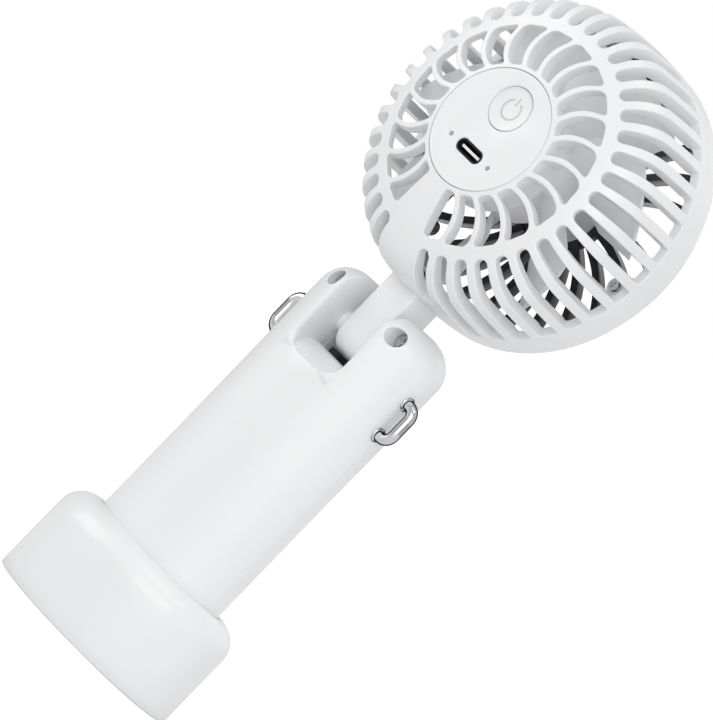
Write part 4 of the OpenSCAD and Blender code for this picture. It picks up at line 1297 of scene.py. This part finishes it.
def makeGrille(plan):
    spigot = plan["spigot"]
    domeRadius = (spigot ** 2 + plan["bulge"] ** 2) / (2 * plan["bulge"])

    def domeAt(radius):
        return headDepth + plan["flange"] + plan["bulge"] - domeRadius + math.sqrt(domeRadius ** 2 - radius ** 2)

    bm = bmesh.new()
    out, inner = plan["ringOut"], plan["ringIn"]
    front = headDepth + plan["flange"]
    ringProfile = [(spigot, headDepth - 4.8), (spigot, headDepth + 0.02), (out, headDepth + 0.02),
                   (out, front - 0.45), (out - 0.13, front - 0.13), (out - 0.45, front), (spigot,
                                                                                          front + 0.1),
                   (inner + 0.3, domeAt(inner + 0.3)), (inner, domeAt(inner) - 0.3), (inner,
                                                                                      headDepth - 4.8),
                   (spigot, headDepth - 4.8)]
    spinRound(bm, ringProfile, 144, bottomPoint)
    hubOut = plan["capRadius"] + 0.4
    hubIn = plan["capRadius"] - 1.95
    spinRound(bm, [(hubOut, domeAt(hubOut) - 0.3), (hubOut - 0.25, domeAt(hubOut) + 0.02),
                   (hubIn + 0.2, domeAt(hubIn) + 0.02), (hubIn, domeAt(hubIn) - 0.2),
                   (hubIn, domeAt(hubIn) - 2.0), (hubOut, domeAt(hubOut) - 2.0), (hubOut,
                                                                                  domeAt(hubOut) - 0.3)],
              96, bottomPoint)
    r0, r1 = plan["capRadius"], plan["ringIn"] + 0.6
    sweep = (r1 - r0) * plan["sweep"]
    rows = 16
    section = [(-1, -1), (-1, 0.75), (-0.8, 0.92), (-0.4, 0.99), (0, 1), (0.4, 0.99), (0.8, 0.92), (1,
                                                                                                    0.75),
               (1, -1)]

    def place(c, r):
        # the arc leaves the hub straight out and leans over toward the ring
        low, high = 0.0, math.radians(89)
        target = r0 + (r1 - r0) * r / (rows - 1)
        for _ in range(30):
            middle = (low + high) / 2
            if math.hypot(r0 + sweep * math.sin(middle), sweep * (1 - math.cos(middle))) < target:
                low = middle
            else:
                high = middle
        a = low
        across, up = section[c]
        x = r0 + sweep * math.sin(a) - across * plan["ribHalf"] * math.sin(a)
        y = sweep * (1 - math.cos(a)) + across * plan["ribHalf"] * math.cos(a)
        return Vector((x, y, domeAt(min(math.hypot(x, y), spigot)) - plan["ribDepth"] / 2 * (1 - up)))

    rib = bmesh.new()
    start, end = growRings(rib, len(section), rows, place)
    capLoop(rib, start)
    capLoop(rib, end)
    copyRound(rib, plan["count"])
    takeIn(bm, rib)
    for angle in housing["lugAngles"]:
        boss = roundPlug(2.0, housing["lugDepth"] + 2.3, headDepth + 0.5, segments=32)
        turn = Matrix.Rotation(math.radians(270 - angle), 4, "Z")
        bmesh.ops.transform(boss, matrix=turn @ Matrix.Translation((housing["lugRadius"], 0, 0)),
                            verts=boss.verts)
        takeIn(bm, boss)
    toHead(bm)
    finishPiece(bm, "front_grille_ribs", "head", "darkChrome", ["front_grille"])

    cap = bmesh.new()
    radius = plan["capRadius"] - 2.05
    face = domeAt(radius) + 0.1
    spinRound(cap, [(0, face + 0.5), (radius * 0.5, face + 0.42), (radius - 1.0, face + 0.18),
                    (radius - 0.3, face),
                    (radius, face - 0.35), (radius, face - 2.0), (0, face - 2.0)], 96, bottomPoint)
    toHead(cap)
    finishPiece(cap, "grille_cap_dome", "head", "brightChrome", ["grille_cap"])


makeGrille(grille)
print("front grille built")


# impeller: a cup with seven twisted blades

impellerPlan = {
    "cupRadius": 14.35,
    "cupBack": 11.2,
    "cupFront": 24.5,
    "count": 7,
    "tip": 36.05,
    "back": 12.8,
    "front": 30.2,
    "thick": 1.3,
    "pitchHub": 50.0,
    "pitchTip": 34.0,
    "turnRadius": 22.0,
    "bow": 1.6,
    "tipSweep": 5.0,
}


def makeImpeller(plan):
    bm = bmesh.new()
    cup = plan["cupRadius"]
    back, front = plan["cupBack"], plan["cupFront"]
    spinRound(bm, [(13.05, back), (cup, back), (cup, front - 1.6), (cup - 0.5, front - 0.5), (cup - 1.6,
                                                                                              front),
                   (4.0, front), (3.4, front + 0.3), (3.0, front + 1.6), (1.0,
                                                                          front + 1.6)], 96, bottomPoint)
    spinRound(bm, [(13.05, back), (13.05, front - 1.3), (1.0, front - 1.3)], 96, bottomPoint)
    rows = 14
    middle = (plan["back"] + plan["front"]) / 2
    half = (plan["front"] - plan["back"]) / 2
    points = 9
    section = [(k / (points - 1) * 2 - 1, 1) for k in range(points)]
    section += [(-s, -1) for s, side in section[1:-1]]

    def place(c, r):
        share = r / (rows - 1)
        radius = (cup - 0.5) + (plan["tip"] - cup + 0.5) * share
        pitch = math.radians(plan["pitchHub"] + (plan["pitchTip"] - plan["pitchHub"]) * share)
        s, side = section[c]
        reach = half * (0.82 + 0.18 * math.sin(math.pi * min(1, share * 0.9 + 0.1)))
        depth = middle + s * reach
        sweep = s * reach / math.tan(pitch) + plan["bow"] * (1 - s * s) + plan["tipSweep"] * share * share
        thin = plan["thick"] / 2 * math.sqrt(max(1 - abs(s) ** 2.5, 0.02)) * side
        sweep += thin * math.sin(pitch)
        depth -= thin * math.cos(pitch)
        angle = sweep / max(radius, plan["turnRadius"])
        return Vector((radius * math.cos(angle), radius * math.sin(angle), depth))

    blade = bmesh.new()
    start, end = growRings(blade, len(section), rows, place)
    capLoop(blade, start)
    capLoop(blade, end)
    copyRound(blade, plan["count"])
    takeIn(bm, blade)
    toHead(bm)
    return finishPiece(bm, "impeller_blades", "rotor", "whiteInnerPaintedBounce", ["impeller"],
                       smoothAngle=50)


makeImpeller(impellerPlan)
print("impeller built")


# parts that keep their frame shape

keptFinish = {
    "base_floor": "whiteInnerPaintedBounce",
    "rubber_foot": "rubber",
    "shell_screws": "steel",
    "battery_cells": "cellWrap",
    "protection_board": "boardGreen",
    "battery_lead": "blackPlastic",
    # black grommet: a dark part set in the slot's gap where it lies in shade, painted shade
    "wire_grommet": "rubber",
    "hinge_pin": "steel",
    "hinge_washers": "whiteInnerPaintedBounce",
    "control_board": "boardGreen",
    "button_switch": "blackPlastic",
    # the socket shell takes the near-black painted shade
    "socket_shell": "socketPaintedShade",
    # white tongue: painted highlight, the bright line along the opening given as the tongue's colour
    "socket_tongue": "whiteInnerPaintedBounce",
    "indicator_lenses": "lensMilk",
    "head_lead": "blackPlastic",
    "motor_bracket": "steel",
    "motor_screws": "steel",
    "bearings": "steel",
    "stator_core": "steel",
    "stator_coils": "copper",
    "rotor_can": "steel",
    "rotor_magnets": "magnetGrey",
    "motor_shaft": "steel",
    "grille_screws": "brightChrome",
}

for nodeName, finish in keptFinish.items():
    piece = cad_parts[nodeName]
    for slotIndex in range(len(piece.material_slots)):
        piece.material_slots[slotIndex].material = materials[finish]
print("kept parts finished:", len(keptFinish))


# floor

floorPlan = {
    "size": 60.0,
    "drop": 0.0,
    "glow": 0.75,
    "base": (0.70, 0.70, 0.70),
    "shade": (0.67, 0.67, 0.675),
}


def makeFloor(plan):
    bm = bmesh.new()
    bmesh.ops.create_grid(bm, x_segments=1, y_segments=1, size=plan["size"] / 2)
    bmesh.ops.translate(bm, vec=(0, 0, plan["drop"]), verts=bm.verts)
    mesh = bpy.data.meshes.new("floor")
    bm.to_mesh(mesh)
    bm.free()
    material = makeMaterial("floorPaper", dict(base=plan["base"], shade=plan["shade"], drift=1.5,
                                               skin=200, low=0.7,
                                               high=0.9, bump=0.01, metallic=0.0, coat=0.0, specular=0.2))
    shader = material.node_tree.nodes["Principled BSDF"]
    shader.inputs["Emission Color"].default_value = (1, 1, 1, 1)
    seen = addNode(material.node_tree, "ShaderNodeLightPath")
    glow = addNode(material.node_tree, "ShaderNodeMath", operation="MULTIPLY")
    glow.inputs[1].default_value = plan["glow"]
    joinNodes(material.node_tree, seen.outputs["Is Camera Ray"], glow.inputs[0])
    joinNodes(material.node_tree, glow.outputs["Value"], shader.inputs["Emission Strength"])
    mesh.materials.append(material)
    floor = bpy.data.objects.new("floor", mesh)
    bpy.context.scene.collection.objects.link(floor)


makeFloor(floorPlan)
print("floor laid")
